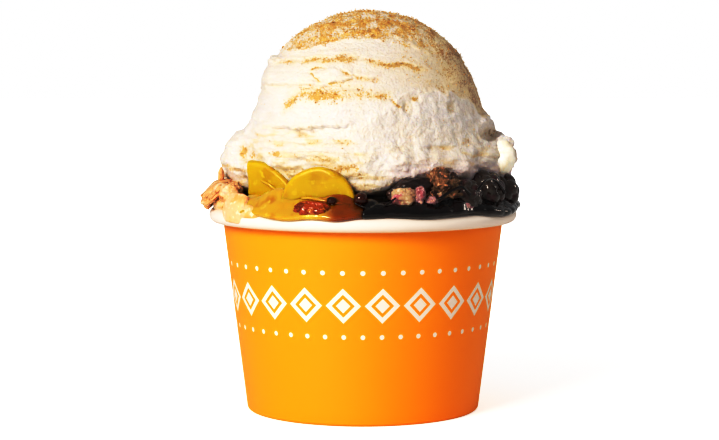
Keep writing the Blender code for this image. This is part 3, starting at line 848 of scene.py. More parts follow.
@dataclass
class Syrup:
    """One half of the contents: syrup mounded round the scoop, with a lip that rides over the bead."""

    cup: PaperCup
    side: Side
    seed: int
    pools: tuple[Pool, ...] = ()
    lip_thickness: float = 1.5 * MM
    bare_deg: float = 188.0
    bare_width_deg: float = 24.0
    bumps: float = 0.5 * MM
    bump_cell: float = 6.0 * MM
    inner_top: float = 64.6 * MM
    crest: float = 67.0 * MM
    crest_radius: float = 38.0 * MM
    seam_wander: float = 2.2 * MM
    seam_gap: float = 0.1 * MM
    bead_gap: float = 0.06 * MM
    wall_gap: float = 0.95 * MM
    floor_reach: float = 12 * MM
    shelf_reach: float = 31.2 * MM
    middle_reach: float = 14 * MM
    arc_columns: int = 300
    chord_columns: int = 60

    def lip_angle(self, bearing: np.ndarray) -> np.ndarray:
        """How far round the bead the lip reaches: 90 degrees is its top and 0 its outermost line.

        Round the bearing bare_deg it stays inside the bead.
        """
        ring = np.stack((np.cos(bearing), np.sin(bearing), np.zeros_like(bearing)), axis=-1)
        slow = lattice_noise(ring, 0.42, self.seed) + 0.6 * lattice_noise(ring, 0.17, self.seed + 1)
        off = (np.degrees(bearing) - self.bare_deg + 180.0) % 360.0 - 180.0
        bare = 50.0 * np.exp(-((off / self.bare_width_deg) ** 4))
        return np.radians(np.clip(58.0 - 24.0 * slow, 30.0, 92.0) + bare)

    def section(self, bearing: np.ndarray) -> tuple[np.ndarray, np.ndarray, int]:
        """The section at each bearing: up inside the wall, over the bead, round the lip, in over the mound.

        Returns:
            Radius and height at (row, column), and the row at which the lip's nose is passed.
        """
        bead_r, bead_z = self.cup.bead_centre()
        clear = self.cup.bead_radius + self.bead_gap
        floor = self.cup.base_height + self.cup.board / 2 + 0.3 * MM
        even = np.ones_like(bearing)
        end = self.lip_angle(bearing)
        wall = self.cup.wall_radius(floor) - self.wall_gap
        rows_r = [self.floor_reach * even, wall * even, (bead_r - clear) * even]
        rows_z = [floor * even, floor * even, bead_z * even]
        for share in np.linspace(0.08, 1.0, 12):
            angle = math.pi + (end - math.pi) * share
            rows_r.append(bead_r + clear * np.cos(angle))
            rows_z.append(bead_z + clear * np.sin(angle))
        ring = np.stack((np.cos(bearing), np.sin(bearing), np.zeros_like(bearing)), axis=-1)
        thick = self.lip_thickness * (1.0 + 0.3 * lattice_noise(ring, 0.23, self.seed + 5)) / 2
        nose_r = bead_r + (clear + thick) * np.cos(end)
        nose_z = bead_z + (clear + thick) * np.sin(end)
        for turn in np.linspace(-math.pi * 0.8, 0.0, 8):
            rows_r.append(nose_r + thick * np.cos(end + turn))
            rows_z.append(nose_z + thick * np.sin(end + turn))
        passed = len(rows_r) - 3
        lip_r, lip_z = rows_r[-1], rows_z[-1]
        for share in np.linspace(0.03, 1.0, 34):
            rows_r.append(lip_r + (self.crest_radius - lip_r) * share)
            rows_z.append(lip_z + (self.crest - lip_z) * math.sin(share * math.pi / 2) ** 0.8)
        for share in np.linspace(0.1, 1.0, 6):
            rows_r.append((self.crest_radius + (self.shelf_reach - self.crest_radius) * share) * even)
            rows_z.append((self.crest + (self.inner_top - self.crest) * share**2) * even)
        rows_r.append(self.middle_reach * even)
        rows_z.append(self.inner_top * even)
        return np.stack(rows_r), np.stack(rows_z), passed

    def build(self, dresser: Dresser) -> None:
        """Show the half: each row is a D of an arc at its radius and a chord whose plane wanders."""
        arc = self.side.value + np.linspace(0.0, math.pi, self.arc_columns)
        reach, height, passed = self.section(arc)
        outward = 1.0 if self.side is Side.BERRY else -1.0
        x, y = reach * np.cos(arc), reach * np.sin(arc)
        swell = sum(pool.rise(x, y) for pool in self.pools)
        rows = np.arange(len(reach))[:, None]
        height = height + smooth_step(passed - 3, passed + 5, rows) * swell
        free = smooth_step(passed - 5, passed + 1, rows) * smooth_step(len(rows) - 20, len(rows) - 30, rows)
        knobs = 3.0 * (crumb_noise(np.stack((x, y, height), axis=-1), self.bump_cell, self.seed + 8) - 0.8)
        x = x + free * 0.6 * self.bumps * knobs * np.cos(arc)
        y = y + free * 0.6 * self.bumps * knobs * np.sin(arc)
        share = np.linspace(0.0, 1.0, self.chord_columns + 2)[1:-1]
        chord_y = y[:, -1:] + (y[:, :1] - y[:, -1:]) * share
        chord_z = height[:, -1:] + (height[:, :1] - height[:, -1:]) * share
        chord = np.stack((np.zeros_like(chord_y), chord_y, chord_z), axis=-1)
        chord[..., 0] = self.seam_wander * lattice_noise(chord, 9 * MM, 77) + outward * self.seam_gap
        rim = np.stack((x + outward * self.seam_gap, y, height), axis=-1)
        near_seam = smooth_step(6 * MM, 0.0, np.abs(x))
        rim[..., 0] += near_seam * self.seam_wander * lattice_noise(rim, 9 * MM, 77)
        grid = np.concatenate((rim, chord), axis=1)
        top = smooth_step(65.0 * MM, 66.4 * MM, grid[..., 2])
        swells = 2.4 * (crumb_noise(grid, self.bump_cell, self.seed + 8) - 0.8)
        grid[..., 2] += top * self.bumps * (layered_noise(grid, 6 * MM, self.seed + 9, 3) + swells)
        if self.side is Side.PEACH:
            dresser.show("peach_syrup_body", ball_surface(grid), "peach_syrup", "peach_filling")
        else:
            dresser.show("dark_syrup_body", ball_surface(grid), "berry_syrup", "berry_filling")


@dataclass(frozen=True)
class Mark:
    """A line along the scoop's front where the layer above it overhangs, drawn as (x, z) stops in mm.

    The surface stands out by rise just above the line and dips by groove just below it; dust lies along it.
    """

    line: tuple[tuple[float, float], ...]
    rise: float = 0.0
    groove: float = 0.0
    above: float = 2.0
    below: float = 1.0
    dust: float = 0.0
    dust_width: float = 0.8
    fade: float = 2.5

    def reach(self, points: np.ndarray) -> tuple[np.ndarray, np.ndarray]:
        """Height above the line in mm, and a share: 1 along it, fading past its ends and at the back."""
        stops = np.array(self.line)
        x, _, z = in_mm(points)
        along = smooth_step(stops[0, 0] - self.fade, stops[0, 0] + self.fade, x)
        along = along * smooth_step(stops[-1, 0] + self.fade, stops[-1, 0] - self.fade, x)
        return z - np.interp(x, stops[:, 0], stops[:, 1]), along * in_front(points)

    def relief(self, points: np.ndarray, wander: np.ndarray) -> np.ndarray:
        """Metres of relief: a rise fading above the line, a groove below; wander shifts the line in mm."""
        off, share = self.reach(points)
        off = off + wander
        up = self.rise * np.exp(-np.maximum(off, 0.0) / self.above)
        down = -self.groove * np.exp(np.minimum(off, 0.0) / self.below)
        return MM * share * np.where(off > 0, up, down)

    def dusting(self, points: np.ndarray, wander: np.ndarray) -> np.ndarray:
        """Dust from 0 to 1: a bell across the line, its middle just below it."""
        off, share = self.reach(points)
        return self.dust * share * np.exp(-(((off + wander + 0.5 * self.dust_width) / self.dust_width) ** 2))


@dataclass(frozen=True)
class Spot:
    """An oval bump or hollow on the scoop's front: middle, half widths and lift in mm, and its dust."""

    x: float
    z: float
    wide: float
    high: float
    lift: float
    # In three hollows this dust is painted shade.
    dust: float = 0.0

    def share(self, points: np.ndarray) -> np.ndarray:
        """A bell from 1 at the middle to 0, flat on top, over the front only."""
        x, _, z = in_mm(points)
        across, up = (x - self.x) / self.wide, (z - self.z) / self.high
        return np.exp(-((across**2 + up**2) ** 2)) * in_front(points)


@dataclass
class Scoop:
    """One scoop of ice cream: a ball rolled off the tub in ledges, torn at the front right, with a skirt."""

    centre: tuple[float, float, float] = (1.9 * MM, 0.0, 88.0 * MM)
    radius: float = 35.5 * MM
    rest: float = 65.2 * MM
    foot_radius: float = 28.5 * MM
    ball_share: float = 0.62
    ball_angle: float = math.radians(78)
    rows: int = 262
    columns: int = 378
    crowd: float = 0.45
    lean: float = 0.10
    ledges: tuple[float, ...] = (108.0 * MM, 99.5 * MM, 90.0 * MM, 83.0 * MM)
    rise: float = 0.6 * MM
    groove: float = 0.7 * MM
    # Relief of the torn layer, in mm: its folds, its two sizes of crumb and the noise over them.
    fold_height: float = 0.40
    crumb_height: float = 0.56
    fine_height: float = 0.24
    rough_height: float = 0.30
    grains: int = 5200
    grain_seed: int = 8
    grain_size: tuple[float, float] = (0.12 * MM, 0.25 * MM)
    # The share of a grain's half width that is below the surface.
    grain_sink: float = 0.8
    cap_edge: tuple[tuple[float, float], ...] = (
        (-24.4, 110.6), (-18.5, 111.5), (-12.6, 112.7), (-3.2, 114.4), (8.0, 113.8), (14.5, 112.1),
        (20.4, 109.4),
    )
    torn_edge: tuple[tuple[float, float], ...] = (
        (-3.0, 89.5), (-0.9, 91.5), (5.0, 94.5), (10.9, 97.8), (15.7, 99.2), (22.7, 99.2), (31.6, 96.9),
        (36.9, 91.5),
    )
    torn_foot: tuple[tuple[float, float], ...] = (
        (-3.0, 84.0), (1.0, 77.6), (11.0, 79.1), (20.0, 80.5), (33.0, 81.5),
    )
    marks: tuple[Mark, ...] = (
        Mark(((-26.5, 108.5), (-19.0, 108.6)), rise=0.5, groove=0.6, dust=0.60),
        Mark(
            ((-18.5, 108.8), (-13.0, 109.3), (-9.7, 108.9), (-6.0, 109.7), (-1.0, 109.3)), rise=0.5,
            groove=0.8, dust=0.58, dust_width=1.4,
        ),
        Mark(
            ((0.5, 108.7), (6.0, 107.9), (12.0, 107.4), (18.3, 106.0)), rise=0.2, groove=0.3, dust=0.57,
            dust_width=1.1,
        ),
        Mark(
            ((-15.8, 105.8), (-13.0, 106.3), (-11.0, 105.9)), groove=0.5, dust=0.56, dust_width=0.6,
            fade=0.8,
        ),
        Mark(((-16.0, 105.0), (-12.3, 102.2)), rise=0.4, groove=0.7, dust=0.58, dust_width=0.6, fade=0.8),
        Mark(((-6.5, 106.2), (-3.5, 104.2)), rise=0.3, groove=0.5, dust=0.5, dust_width=0.7, fade=0.8),
        Mark(
            ((-10.5, 101.9), (-5.7, 102.8), (-3.0, 103.4)), rise=0.6, groove=0.6, dust=0.58, dust_width=0.6,
            fade=0.8,
        ),
        Mark(
            ((-29.5, 101.0), (-20.0, 101.4), (-8.0, 101.2)), rise=0.5, groove=0.6, below=0.6, dust=0.32,
            dust_width=0.5,
        ),
        Mark(((-2.5, 104.0), (5.0, 102.9)), rise=0.3, groove=0.4, dust=0.50, fade=1.0),
        Mark(
            ((-24.3, 94.9), (-21.5, 97.6), (-18.5, 99.6)), groove=0.5, dust=0.48, dust_width=2.6, fade=1.2,
        ),
        Mark(
            ((-19.5, 100.2), (-12.6, 100.0), (-5.3, 100.6), (0.7, 99.8)), groove=0.6, dust=0.50,
            dust_width=3.0, fade=1.5,
        ),
        Mark(((0.0, 99.2), (8.4, 98.6)), groove=0.4, dust=0.57, dust_width=1.7, fade=2.0),
        Mark(((8.2, 96.9), (11.4, 95.2)), groove=0.4, dust=0.58, dust_width=0.9, fade=0.8),
        Mark(
            ((-27.0, 88.6), (-20.0, 88.2), (-12.0, 88.9), (-4.0, 89.6)), rise=1.0, groove=0.8, above=5.0,
            below=1.6,
        ),
        Mark(
            ((-30.0, 84.6), (-16.0, 84.0), (-4.0, 84.6)), rise=0.25, groove=0.35, above=1.5, below=0.8,
            dust=0.2,
        ),
        Mark(
            ((-26.0, 81.4), (-12.0, 81.6), (2.0, 81.0)), rise=0.2, groove=0.3, above=1.5, below=0.8,
            dust=0.2,
        ),
    )
    spots: tuple[Spot, ...] = (
        Spot(-9.7, 104.4, 3.6, 1.7, 0.55),
        Spot(-18.5, 86.4, 1.6, 0.8, -0.9, 0.42),
        Spot(-14.6, 87.2, 0.8, 0.6, -0.7, 0.35),
        Spot(-23.5, 80.6, 5.2, 0.9, 0.2, 0.58),
        Spot(-12.5, 79.8, 4.0, 1.0, 0.1, 0.58),
        Spot(-5.0, 76.6, 4.0, 2.2, 0.2, 0.60),
        # Painted shade: the dust in this deep pit under the flap stands for its shade.
        Spot(39.0, 86.0, 2.7, 2.0, -2.7, 0.42),
        Spot(36.8, 90.0, 1.6, 1.5, 1.4),
        Spot(18.0, 76.6, 17.0, 4.2, 1.6),
        Spot(1.5, 71.8, 8.0, 1.6, 0.7),
        # Painted shade: the dust in these two hollows on the left flank stands for their tan shade.
        Spot(-36.5, 80.5, 1.6, 3.6, -1.3, 0.38),
        Spot(-33.5, 79.5, 1.3, 2.6, -0.8, 0.34),
        Spot(15.4, 97.0, 1.6, 0.9, -0.4, 0.50),
        Spot(12.6, 94.6, 0.9, 1.4, -0.4, 0.40),
        Spot(26.4, 94.4, 1.4, 2.0, -0.6, 0.40),
        Spot(31.0, 83.8, 1.6, 1.2, -0.4, 0.26),
        Spot(36.2, 86.0, 1.2, 1.0, -0.4, 0.32),
        Spot(22.5, 82.6, 4.6, 0.6, -0.4, 0.40),
        Spot(-41.0, 83.6, 5.0, 4.4, 2.4),
        Spot(-29.0, 104.6, 3.4, 4.4, 1.3),
        Spot(-28.0, 108.4, 2.6, 1.5, 1.5),
    )
    # Azimuth in degrees, reach from the scoop's axis in mm and height of the edge in mm.
    skirt: tuple[tuple[float, float, float], ...] = (
        (0, 45.4, 80.4), (30, 42.0, 79.6), (60, 40.0, 79.0), (90, 40.4, 77.5), (120, 39.8, 79.0),
        (150, 42.5, 80.5), (180, 45.4, 77.2), (203, 40.8, 77.4), (225, 37.4, 79.8), (250, 38.2, 80.0),
        (270, 38.8, 74.8), (287, 38.4, 78.6), (302, 38.6, 79.6), (330, 41.0, 79.8),
    )

    def edge(self, azimuth: np.ndarray) -> tuple[np.ndarray, np.ndarray]:
        """Reach and height of the skirt's edge, read round the table."""
        degrees = np.degrees(azimuth) % 360.0
        table = np.array(self.skirt + ((360.0, *self.skirt[0][1:]),), float)
        reach = np.interp(degrees, table[:, 0], table[:, 1]) * MM
        return reach, np.interp(degrees, table[:, 0], table[:, 2]) * MM

    def body(self, azimuth: np.ndarray, share: np.ndarray) -> np.ndarray:
        """The scoop without relief.

        Args:
            azimuth: bearing round the scoop's axis.
            share: 0 at the top and 1 at the middle of the foot.

        Returns:
            Points: a ball down to ball_angle, then a spline out to the skirt's edge and in to the foot.
        """
        centre_x, centre_y, centre_z = self.centre
        on_ball = np.minimum(share / self.ball_share, 1.0) * self.ball_angle
        waist = self.radius * math.sin(self.ball_angle)
        waist_z = centre_z + self.radius * math.cos(self.ball_angle)
        before = self.ball_angle - 0.2
        edge, edge_z = self.edge(azimuth)
        flare, drop = edge - waist, waist_z - edge_z
        tuck = np.maximum(edge - 3.6 * MM, 33.5 * MM)
        tuck_z = np.maximum(edge_z - 9.5 * MM, 69.2 * MM)
        even = np.ones_like(share)
        stops = (
            (self.radius * math.sin(before) * even, (centre_z + self.radius * math.cos(before)) * even),
            (waist * even, waist_z * even),
            (waist + 0.38 * flare, edge_z + 0.52 * drop),
            (waist + 0.75 * flare, edge_z + 0.22 * drop),
            (edge, edge_z),
            (edge - 0.9 * MM, np.maximum(edge_z - 5.0 * MM, 70.0 * MM)),
            (tuck, tuck_z),
            (31.0 * MM + 0.15 * (tuck - 31.0 * MM), tuck_z - 0.8 * MM),
            (self.foot_radius * even, self.rest * even),
            (0.5 * self.foot_radius * even, self.rest * even),
            (0.0 * even, self.rest * even),
            (-self.foot_radius * even, self.rest * even),
        )
        along = 1.0 - (1.0 - (share - self.ball_share) / (1.0 - self.ball_share)) ** 0.6
        low_reach = spline(np.array([r for r, _ in stops]), along)
        low_z = np.maximum(spline(np.array([z for _, z in stops]), along), self.rest)
        high = share < self.ball_share
        reach = np.where(high, self.radius * np.sin(on_ball), np.maximum(low_reach, 0.0))
        height = np.where(high, centre_z + self.radius * np.cos(on_ball), low_z)
        return turned(reach, height, azimuth) + np.array((centre_x, centre_y, 0.0))

    def level(self, points: np.ndarray) -> np.ndarray:
        """Height on the leaning scale that the ledges follow, with the wander of each line."""
        wander = 1.1 * MM * lattice_noise(points, 14 * MM, 3) + 0.5 * MM * lattice_noise(points, 5 * MM, 4)
        wander += 0.35 * MM * lattice_noise(points, 1.8 * MM, 5)
        return points[..., 2] + self.lean * points[..., 1] + wander

    def torn(self, points: np.ndarray) -> np.ndarray:
        """1 on the torn layer: the lower right of the front, the left flank and patches of the back."""
        ragged = layered_noise(points, 6 * MM, 11, 4)
        x, y, z = in_mm(points)
        edge = np.array(self.torn_edge)
        foot = np.array(self.torn_foot)
        below_edge = smooth_step(0.7, -0.7, z - np.interp(x, edge[:, 0], edge[:, 1]) + 1.6 * ragged)
        above_foot = smooth_step(-1.8, 1.8, z - np.interp(x, foot[:, 0], foot[:, 1]) + 1.6 * ragged)
        side = smooth_step(-12.0, 7.0, x + 3.5 * ragged) * smooth_step(10.0, 2.0, y)
        left = smooth_step(-33.0, -35.5, x + 1.5 * ragged) * smooth_step(91.0, 89.0, z + 2.0 * ragged)
        left = left * smooth_step(75.5, 77.5, z) * smooth_step(12.0, 2.0, y)
        patch = smooth_step(-0.2, 0.25, lattice_noise(points, 17 * MM, 14))
        back = smooth_step(2.0, 9.0, y) * smooth_step(94.0, 91.0, z + 4.0 * ragged) * patch
        return np.maximum.reduce([side * below_edge * above_foot, left, 0.9 * back])

    def ledge_relief(self, points: np.ndarray) -> np.ndarray:
        """Each ledge swells above its line and drops into a groove just under it."""
        level = self.level(points)
        relief = np.zeros(points.shape[:-1])
        for ledge in self.ledges:
            above = level - ledge
            rise = self.rise * np.exp(-np.maximum(above, 0.0) / (2.4 * MM))
            drop = -self.groove * np.exp(np.minimum(above, 0.0) / (1.1 * MM))
            relief += np.where(above > 0, rise, drop)
        behind = smooth_step(-4 * MM, 6 * MM, points[..., 1])
        return relief * (0.15 + 0.85 * behind) * smooth_step(74 * MM, 80 * MM, points[..., 2])

    def lift(self, points: np.ndarray) -> np.ndarray:
        """How far the surface stands out from the body, in metres: ledges, crags, streaks, frayed skirt."""
        torn = self.torn(points)
        squashed = points * np.array((1.0, 1.0, 4.5))
        streaks = layered_noise(squashed, 6 * MM, 24, 4)
        skirt = smooth_step(84 * MM, 78 * MM, points[..., 2])
        frayed = 1.1 * MM * lattice_noise(points, 6 * MM, 21)
        frayed += 0.6 * MM * layered_noise(points, 3 * MM, 22, 3)
        wander = self.wander(points)
        relief = self.ledge_relief(points) * (1.0 - 0.8 * torn)
        relief += (1.0 - torn) * sum(mark.relief(points, wander) for mark in self.marks)
        relief += sum(spot.lift * MM * spot.share(points) for spot in self.spots)
        worked = np.maximum(torn, 0.3 * smooth_step(104 * MM, 90 * MM, points[..., 2]))
        relief += 0.3 * MM * torn + MM * worked * self.crumbs(points)
        relief += (1.0 - torn) * 0.32 * MM * streaks * (0.5 + smooth_step(96 * MM, 88 * MM, points[..., 2]))
        relief += self.cap(points) * (0.35 * MM + 0.30 * MM * layered_noise(points, 1.8 * MM, 71, 2))
        relief += skirt * frayed + 0.3 * MM * lattice_noise(points, 8 * MM, 23)
        above_foot = smooth_step(self.rest + 1.0 * MM, self.rest + 6.0 * MM, points[..., 2])
        return relief * above_foot

    def crumbs(self, points: np.ndarray) -> np.ndarray:
        """Relief of the torn layer in mm: slow folds, and over them two sizes of crumb on a pulled grid."""
        pulled = points + 1.2 * MM * np.stack(
            [layered_noise(points, 4 * MM, seed, 2) for seed in (61, 62, 63)], axis=-1
        )
        vigour = 1.0 + 0.5 * lattice_noise(points, 8 * MM, 29)
        folds = self.fold_height * ridged_noise(pulled * np.array((1.0, 1.0, 1.8)), 7.0 * MM, 12, 3)
        coarse = self.crumb_height * (crumb_noise(pulled, 1.5 * MM, 18) - 0.8)
        fine = self.fine_height * (crumb_noise(pulled, 0.8 * MM, 28) - 0.8)
        rough = self.rough_height * layered_noise(pulled, 2.4 * MM, 13, 3)
        return folds + vigour * (coarse + fine) + rough

    def wander(self, points: np.ndarray) -> np.ndarray:
        """Millimetres by which the marks stray from their lines."""
        return 0.5 * lattice_noise(points, 6 * MM, 5) + 0.35 * layered_noise(points, 2 * MM, 6, 2)

    def cap(self, points: np.ndarray) -> np.ndarray:
        """1 on the dusted crown and 0 below its edge, which is drawn over the front and level behind."""
        stops = np.array(self.cap_edge)
        x, y, z = in_mm(points)
        front = smooth_step(6.0, -2.0, y)
        edge = front * np.interp(x, stops[:, 0], stops[:, 1]) + (1.0 - front) * 110.5
        ragged = 1.3 + 2.2 * (1.0 - front)
        return smooth_step(-0.6, 0.9 + 2.0 * (1.0 - front), z - edge + ragged * self.wander(points))

    def line_dust(self, points: np.ndarray) -> np.ndarray:
        """The dust of the marks: the most that any of them has there."""
        wander = self.wander(points)
        return np.maximum.reduce([mark.dusting(points, wander) for mark in self.marks])

    def spot_dust_and_shade(self, points: np.ndarray) -> np.ndarray:
        """The dust of the spots, painted shade in three hollows: the most that any of them has there."""
        return np.maximum.reduce([spot.dust * spot.share(points) for spot in self.spots])

    def dust(self, points: np.ndarray) -> np.ndarray:
        """Cinnamon from 0 to 1, with painted shade in three hollows: most on the cap, in the grooves and down
        the right.
        """
        mottle = layered_noise(points, 3.0 * MM, 41, 3)
        x, y, z = in_mm(points)
        cap = self.cap(points) * (0.51 + 0.13 * mottle) * smooth_step(-31.0, -24.0, x + 3.0 * mottle)
        lines = self.line_dust(points) * (0.96 + 0.4 * mottle)
        spots = self.spot_dust_and_shade(points) * (1.1 + 0.8 * mottle)
        drift = 5.0 * layered_noise(points, 9.0 * MM, 45, 2)
        right = smooth_step(6.0, 29.0, x + 3.0 * mottle) * smooth_step(81.0, 97.0, z + drift)
        right = right * smooth_step(26.0, 6.0, y + drift)
        side = 0.47 * right**0.5 * (1.0 + 0.2 * mottle)
        sparse = 0.10 * smooth_step(76.0, 92.0, z) + 0.13 * self.torn(points)
        drawn = smooth_step(0.15, 0.7, self.drawn(points))
        drawn = drawn * smooth_step(91.0, 86.0, z) * smooth_step(6.0, -2.0, x)
        side = side * (1.0 - self.torn(points))
        return np.clip(np.maximum.reduce([cap, lines, spots, side, sparse, 0.42 * drawn]), 0.0, 1.0)

    def drawn(self, points: np.ndarray) -> np.ndarray:
        """Noise squashed to a fifth of its height: the level lines that the spoon drew low on the scoop."""
        return layered_noise(points * np.array((1.0, 1.0, 5.0)), 5 * MM, 47, 3)

    def haze_and_shade(self, points: np.ndarray) -> np.ndarray:
        """How far the cream turns tan, from 0 to 1: most on the right flank, as painted shade with fine
        cinnamon.
        """
        z = points[..., 2] / MM
        whole = 1.0 - 0.75 * self.torn(points)
        lines = 0.95 * whole * smooth_step(0.0, 0.65, self.drawn(points)) * smooth_step(91.0, 84.0, z)
        low = 0.2 * whole * (smooth_step(93.0, 84.0, z) + smooth_step(96.0, 101.0, z))
        trail = np.maximum(1.2 * self.line_dust(points), 1.2 * self.spot_dust_and_shade(points))
        # Painted shade: tan in the torn layer's creases, where its crumbs sink lowest.
        creases = 0.3 * self.torn(points) * smooth_step(0.2, -0.4, self.crumbs(points))
        # Painted shade with fine cinnamon: tan over the right flank, which the key light leaves in shade.
        flank = 0.9 * self.flank(points)
        return np.clip(flank + 0.20 * self.cap(points) + lines + low + trail + creases, 0.0, 1.0)

    def flank(self, points: np.ndarray) -> np.ndarray:
        """1 on the right flank, tanned by painted shade and fine cinnamon, and 0 on the left and the torn
        layer.
        """
        x, y, z = in_mm(points)
        mottle = 4.0 * layered_noise(points, 5.0 * MM, 43, 3)
        share = smooth_step(5.0, 36.0, x + mottle) * smooth_step(80.0, 95.0, z + mottle)
        return share * smooth_step(30.0, 0.0, y + mottle) * (1.0 - self.torn(points))

    def stain(self, points: np.ndarray) -> np.ndarray:
        """How much the berries have tinted the foot of the scoop, from 0 to 1."""
        right = smooth_step(4 * MM, 14 * MM, points[..., 0])
        height = points[..., 2] + MM * lattice_noise(points, 4 * MM, 51)
        return 0.5 * right * smooth_step(80 * MM, 75 * MM, height)

    def grid(self) -> tuple[np.ndarray, np.ndarray]:
        """The finished surface's points and outward normals at (row, column); columns crowd to the front."""
        share = (np.arange(self.rows) + 0.5) / self.rows
        turn = 2 * math.pi * np.arange(self.columns) / self.columns
        azimuth = 1.5 * math.pi + turn - self.crowd * np.sin(turn)
        share, azimuth = np.meshgrid(share, azimuth, indexing="ij")
        bare = self.body(azimuth, share)
        down = np.gradient(bare, axis=0)
        across = np.roll(bare, -1, axis=1) - np.roll(bare, 1, axis=1)
        normal = np.cross(down, across)
        normal /= np.linalg.norm(normal, axis=-1)[..., None] + 1e-12
        return bare + normal * self.lift(bare)[..., None], normal

    def build(self, dresser: Dresser) -> None:
        """Show the ice cream and the cinnamon grains on it."""
        points, normal = self.grid()
        dust = self.dust(points)
        values = {"dust": dust, "stain": self.stain(points), "haze_and_shade": self.haze_and_shade(points)}
        dresser.show("ice_cream_scoop", ball_surface(points, values), "ice_cream", "ice_cream")
        weight = np.where(dust > 0.24, dust, 0.012) ** 1.5 * (points[..., 2] > 72 * MM)
        weight = weight * (1.0 - 0.85 * smooth_step(0.15, 0.5, self.flank(points)))
        grains = self.sprinkled(points, normal, weight)
        dresser.show("cinnamon_grains", grains, "ice_cream", finish="ground_cinnamon")

    def sprinkled(self, points: np.ndarray, normal: np.ndarray, weight: np.ndarray) -> Surface:
        """Small rough octahedra set on the surface, more of them where the weight is higher.

        Args:
            points: the surface's points at (row, column).
            normal: its normals.
            weight: how likely a grain is there; the width of a column at each row is allowed for.

        Returns:
            One surface of all the grains.
        """
        rng = np.random.default_rng(self.grain_seed)
        count = self.grains
        reach = np.hypot(points[..., 0] - self.centre[0], points[..., 1])
        chance = (weight * reach).ravel()
        picks = rng.choice(chance.size, count, p=chance / chance.sum())
        half = rng.uniform(*self.grain_size, count)
        jitter = rng.normal(0.0, 0.25 * MM, (count, 3))
        raised = normal.reshape(-1, 3)[picks] * (half * (1 - self.grain_sink))[:, None]
        middle = points.reshape(-1, 3)[picks] + jitter + raised
        corners = np.array(((1, 0, 0), (-1, 0, 0), (0, 1, 0), (0, -1, 0), (0, 0, 1), (0, 0, -1)), float)
        shape = corners[None] * rng.uniform(0.6, 1.2, (count, 6, 1)) + rng.normal(0.0, 0.22, (count, 6, 3))
        all_points = (middle[:, None] + shape * half[:, None, None]).reshape(-1, 3)
        sides = np.array(
            ((0, 2, 4), (2, 1, 4), (1, 3, 4), (3, 0, 4), (2, 0, 5), (1, 2, 5), (3, 1, 5), (0, 3, 5))
        )
        faces = (sides[None] + 6 * np.arange(count)[:, None, None]).reshape(-1, 3)
        return Surface(all_points, [faces])


# Fruit and crust


@dataclass
class PeachSlice:
    """A wedge of peach: a crescent swept by the wedge angle about the fruit's core, with rounded edges.

    Its place, like those of the lumps and berries, is what ring_place takes. Its radius is in mm.
    """

    name: str
    place: tuple[float, ...]
    radius: float
    first_deg: float
    last_deg: float
    wedge_deg: float
    seed: int
    stone_share: float = 0.62
    rounding: float = 0.30
    rows: int = 80
    end_rows: int = 9
    columns: int = 72

    def build(self, dresser: Dresser) -> None:
        """Show the slice.

        Rows run along the crescent and shrink to a point on each end face. A column's angle t sets the wedge
        angle and the depth by a rounded square: cos t and sin t, each raised to the rounding power.
        """
        body = np.linspace(self.first_deg, self.last_deg, self.rows)
        along = np.concatenate((np.full(self.end_rows, body[0]), body, np.full(self.end_rows, body[-1])))
        grown = np.sin(np.linspace(0.06, 1.0, self.end_rows + 1) * math.pi / 2)[:-1]
        size = np.concatenate((grown, np.ones(self.rows), grown[::-1]))
        t = 2 * math.pi * np.arange(self.columns) / self.columns
        wide = np.sign(np.cos(t)) * np.abs(np.cos(t)) ** self.rounding
        deep = np.sign(np.sin(t)) * np.abs(np.sin(t)) ** self.rounding
        angle = np.radians(along)[:, None]
        depth = self.stone_share * np.maximum(np.sin(angle), 0.0) ** 0.6
        share = (1.0 - depth / 2) + size[:, None] * deep[None] * depth / 2
        wedge = np.radians(self.wedge_deg) / 2 * (1.0 + size[:, None] * wide[None])
        x = self.radius * share * np.cos(angle)
        height = self.radius * share * np.sin(angle)
        grid = np.stack((x, height * np.sin(wedge), height * np.cos(wedge)), axis=-1)
        grid += 0.25 * lattice_noise(grid, 5.0, self.seed)[..., None]
        grid = placed(grid * MM, ring_place(*self.place))
        dresser.show(self.name, ball_surface(grid), "peach_flesh")


@dataclass
class Lump:
    """A torn lump of crust or dough: a ball stretched to size, broken by crags and fine crumb."""

    name: str
    place: tuple[float, ...]
    size: tuple[float, float, float]
    seed: int
    slot: str
    rough: float
    crag: float = 0.0
    droop: float = 0.0
    cell: float = 0.55
    square: float = 1.0
    finish: str = ""
    rows: int = 100
    columns: int = 140

    def build(self, dresser: Dresser) -> None:
        """Show the lump: the ball's radius wanders by rough, crags stand out, the part past the rim droops.

        Each coordinate of the ball is raised to the square power, so that less than 1 makes it boxier.
        """
        ball = unit_ball(self.rows, self.columns)
        boxed = np.sign(ball) * np.abs(ball) ** self.square
        wander = self.rough * (
            lattice_noise(ball, self.cell, self.seed) + lattice_noise(ball, 2.2 * self.cell, self.seed + 1)
        )
        bend = np.stack([layered_noise(ball, 0.4, self.seed + step, 2) for step in (5, 6, 7)], axis=-1)
        wander += self.crag * (ridged_noise(ball + 0.12 * bend, 0.6, self.seed + 2, 5) - 0.35)
        wander += (0.02 + 0.1 * self.crag) * layered_noise(ball, 0.2, self.seed + 3, 4)
        grid = boxed * (1.0 + wander)[..., None] * np.array(self.size) / 2 * MM
        grid = placed(grid, ring_place(*self.place))
        past = np.hypot(grid[..., 0], grid[..., 1]) - RIM_TOP_REACH
        grid[..., 2] -= self.droop * MM * smooth_step(0.0, 5 * MM, past)
        dresser.show(self.name, ball_surface(grid), self.slot, finish=self.finish)


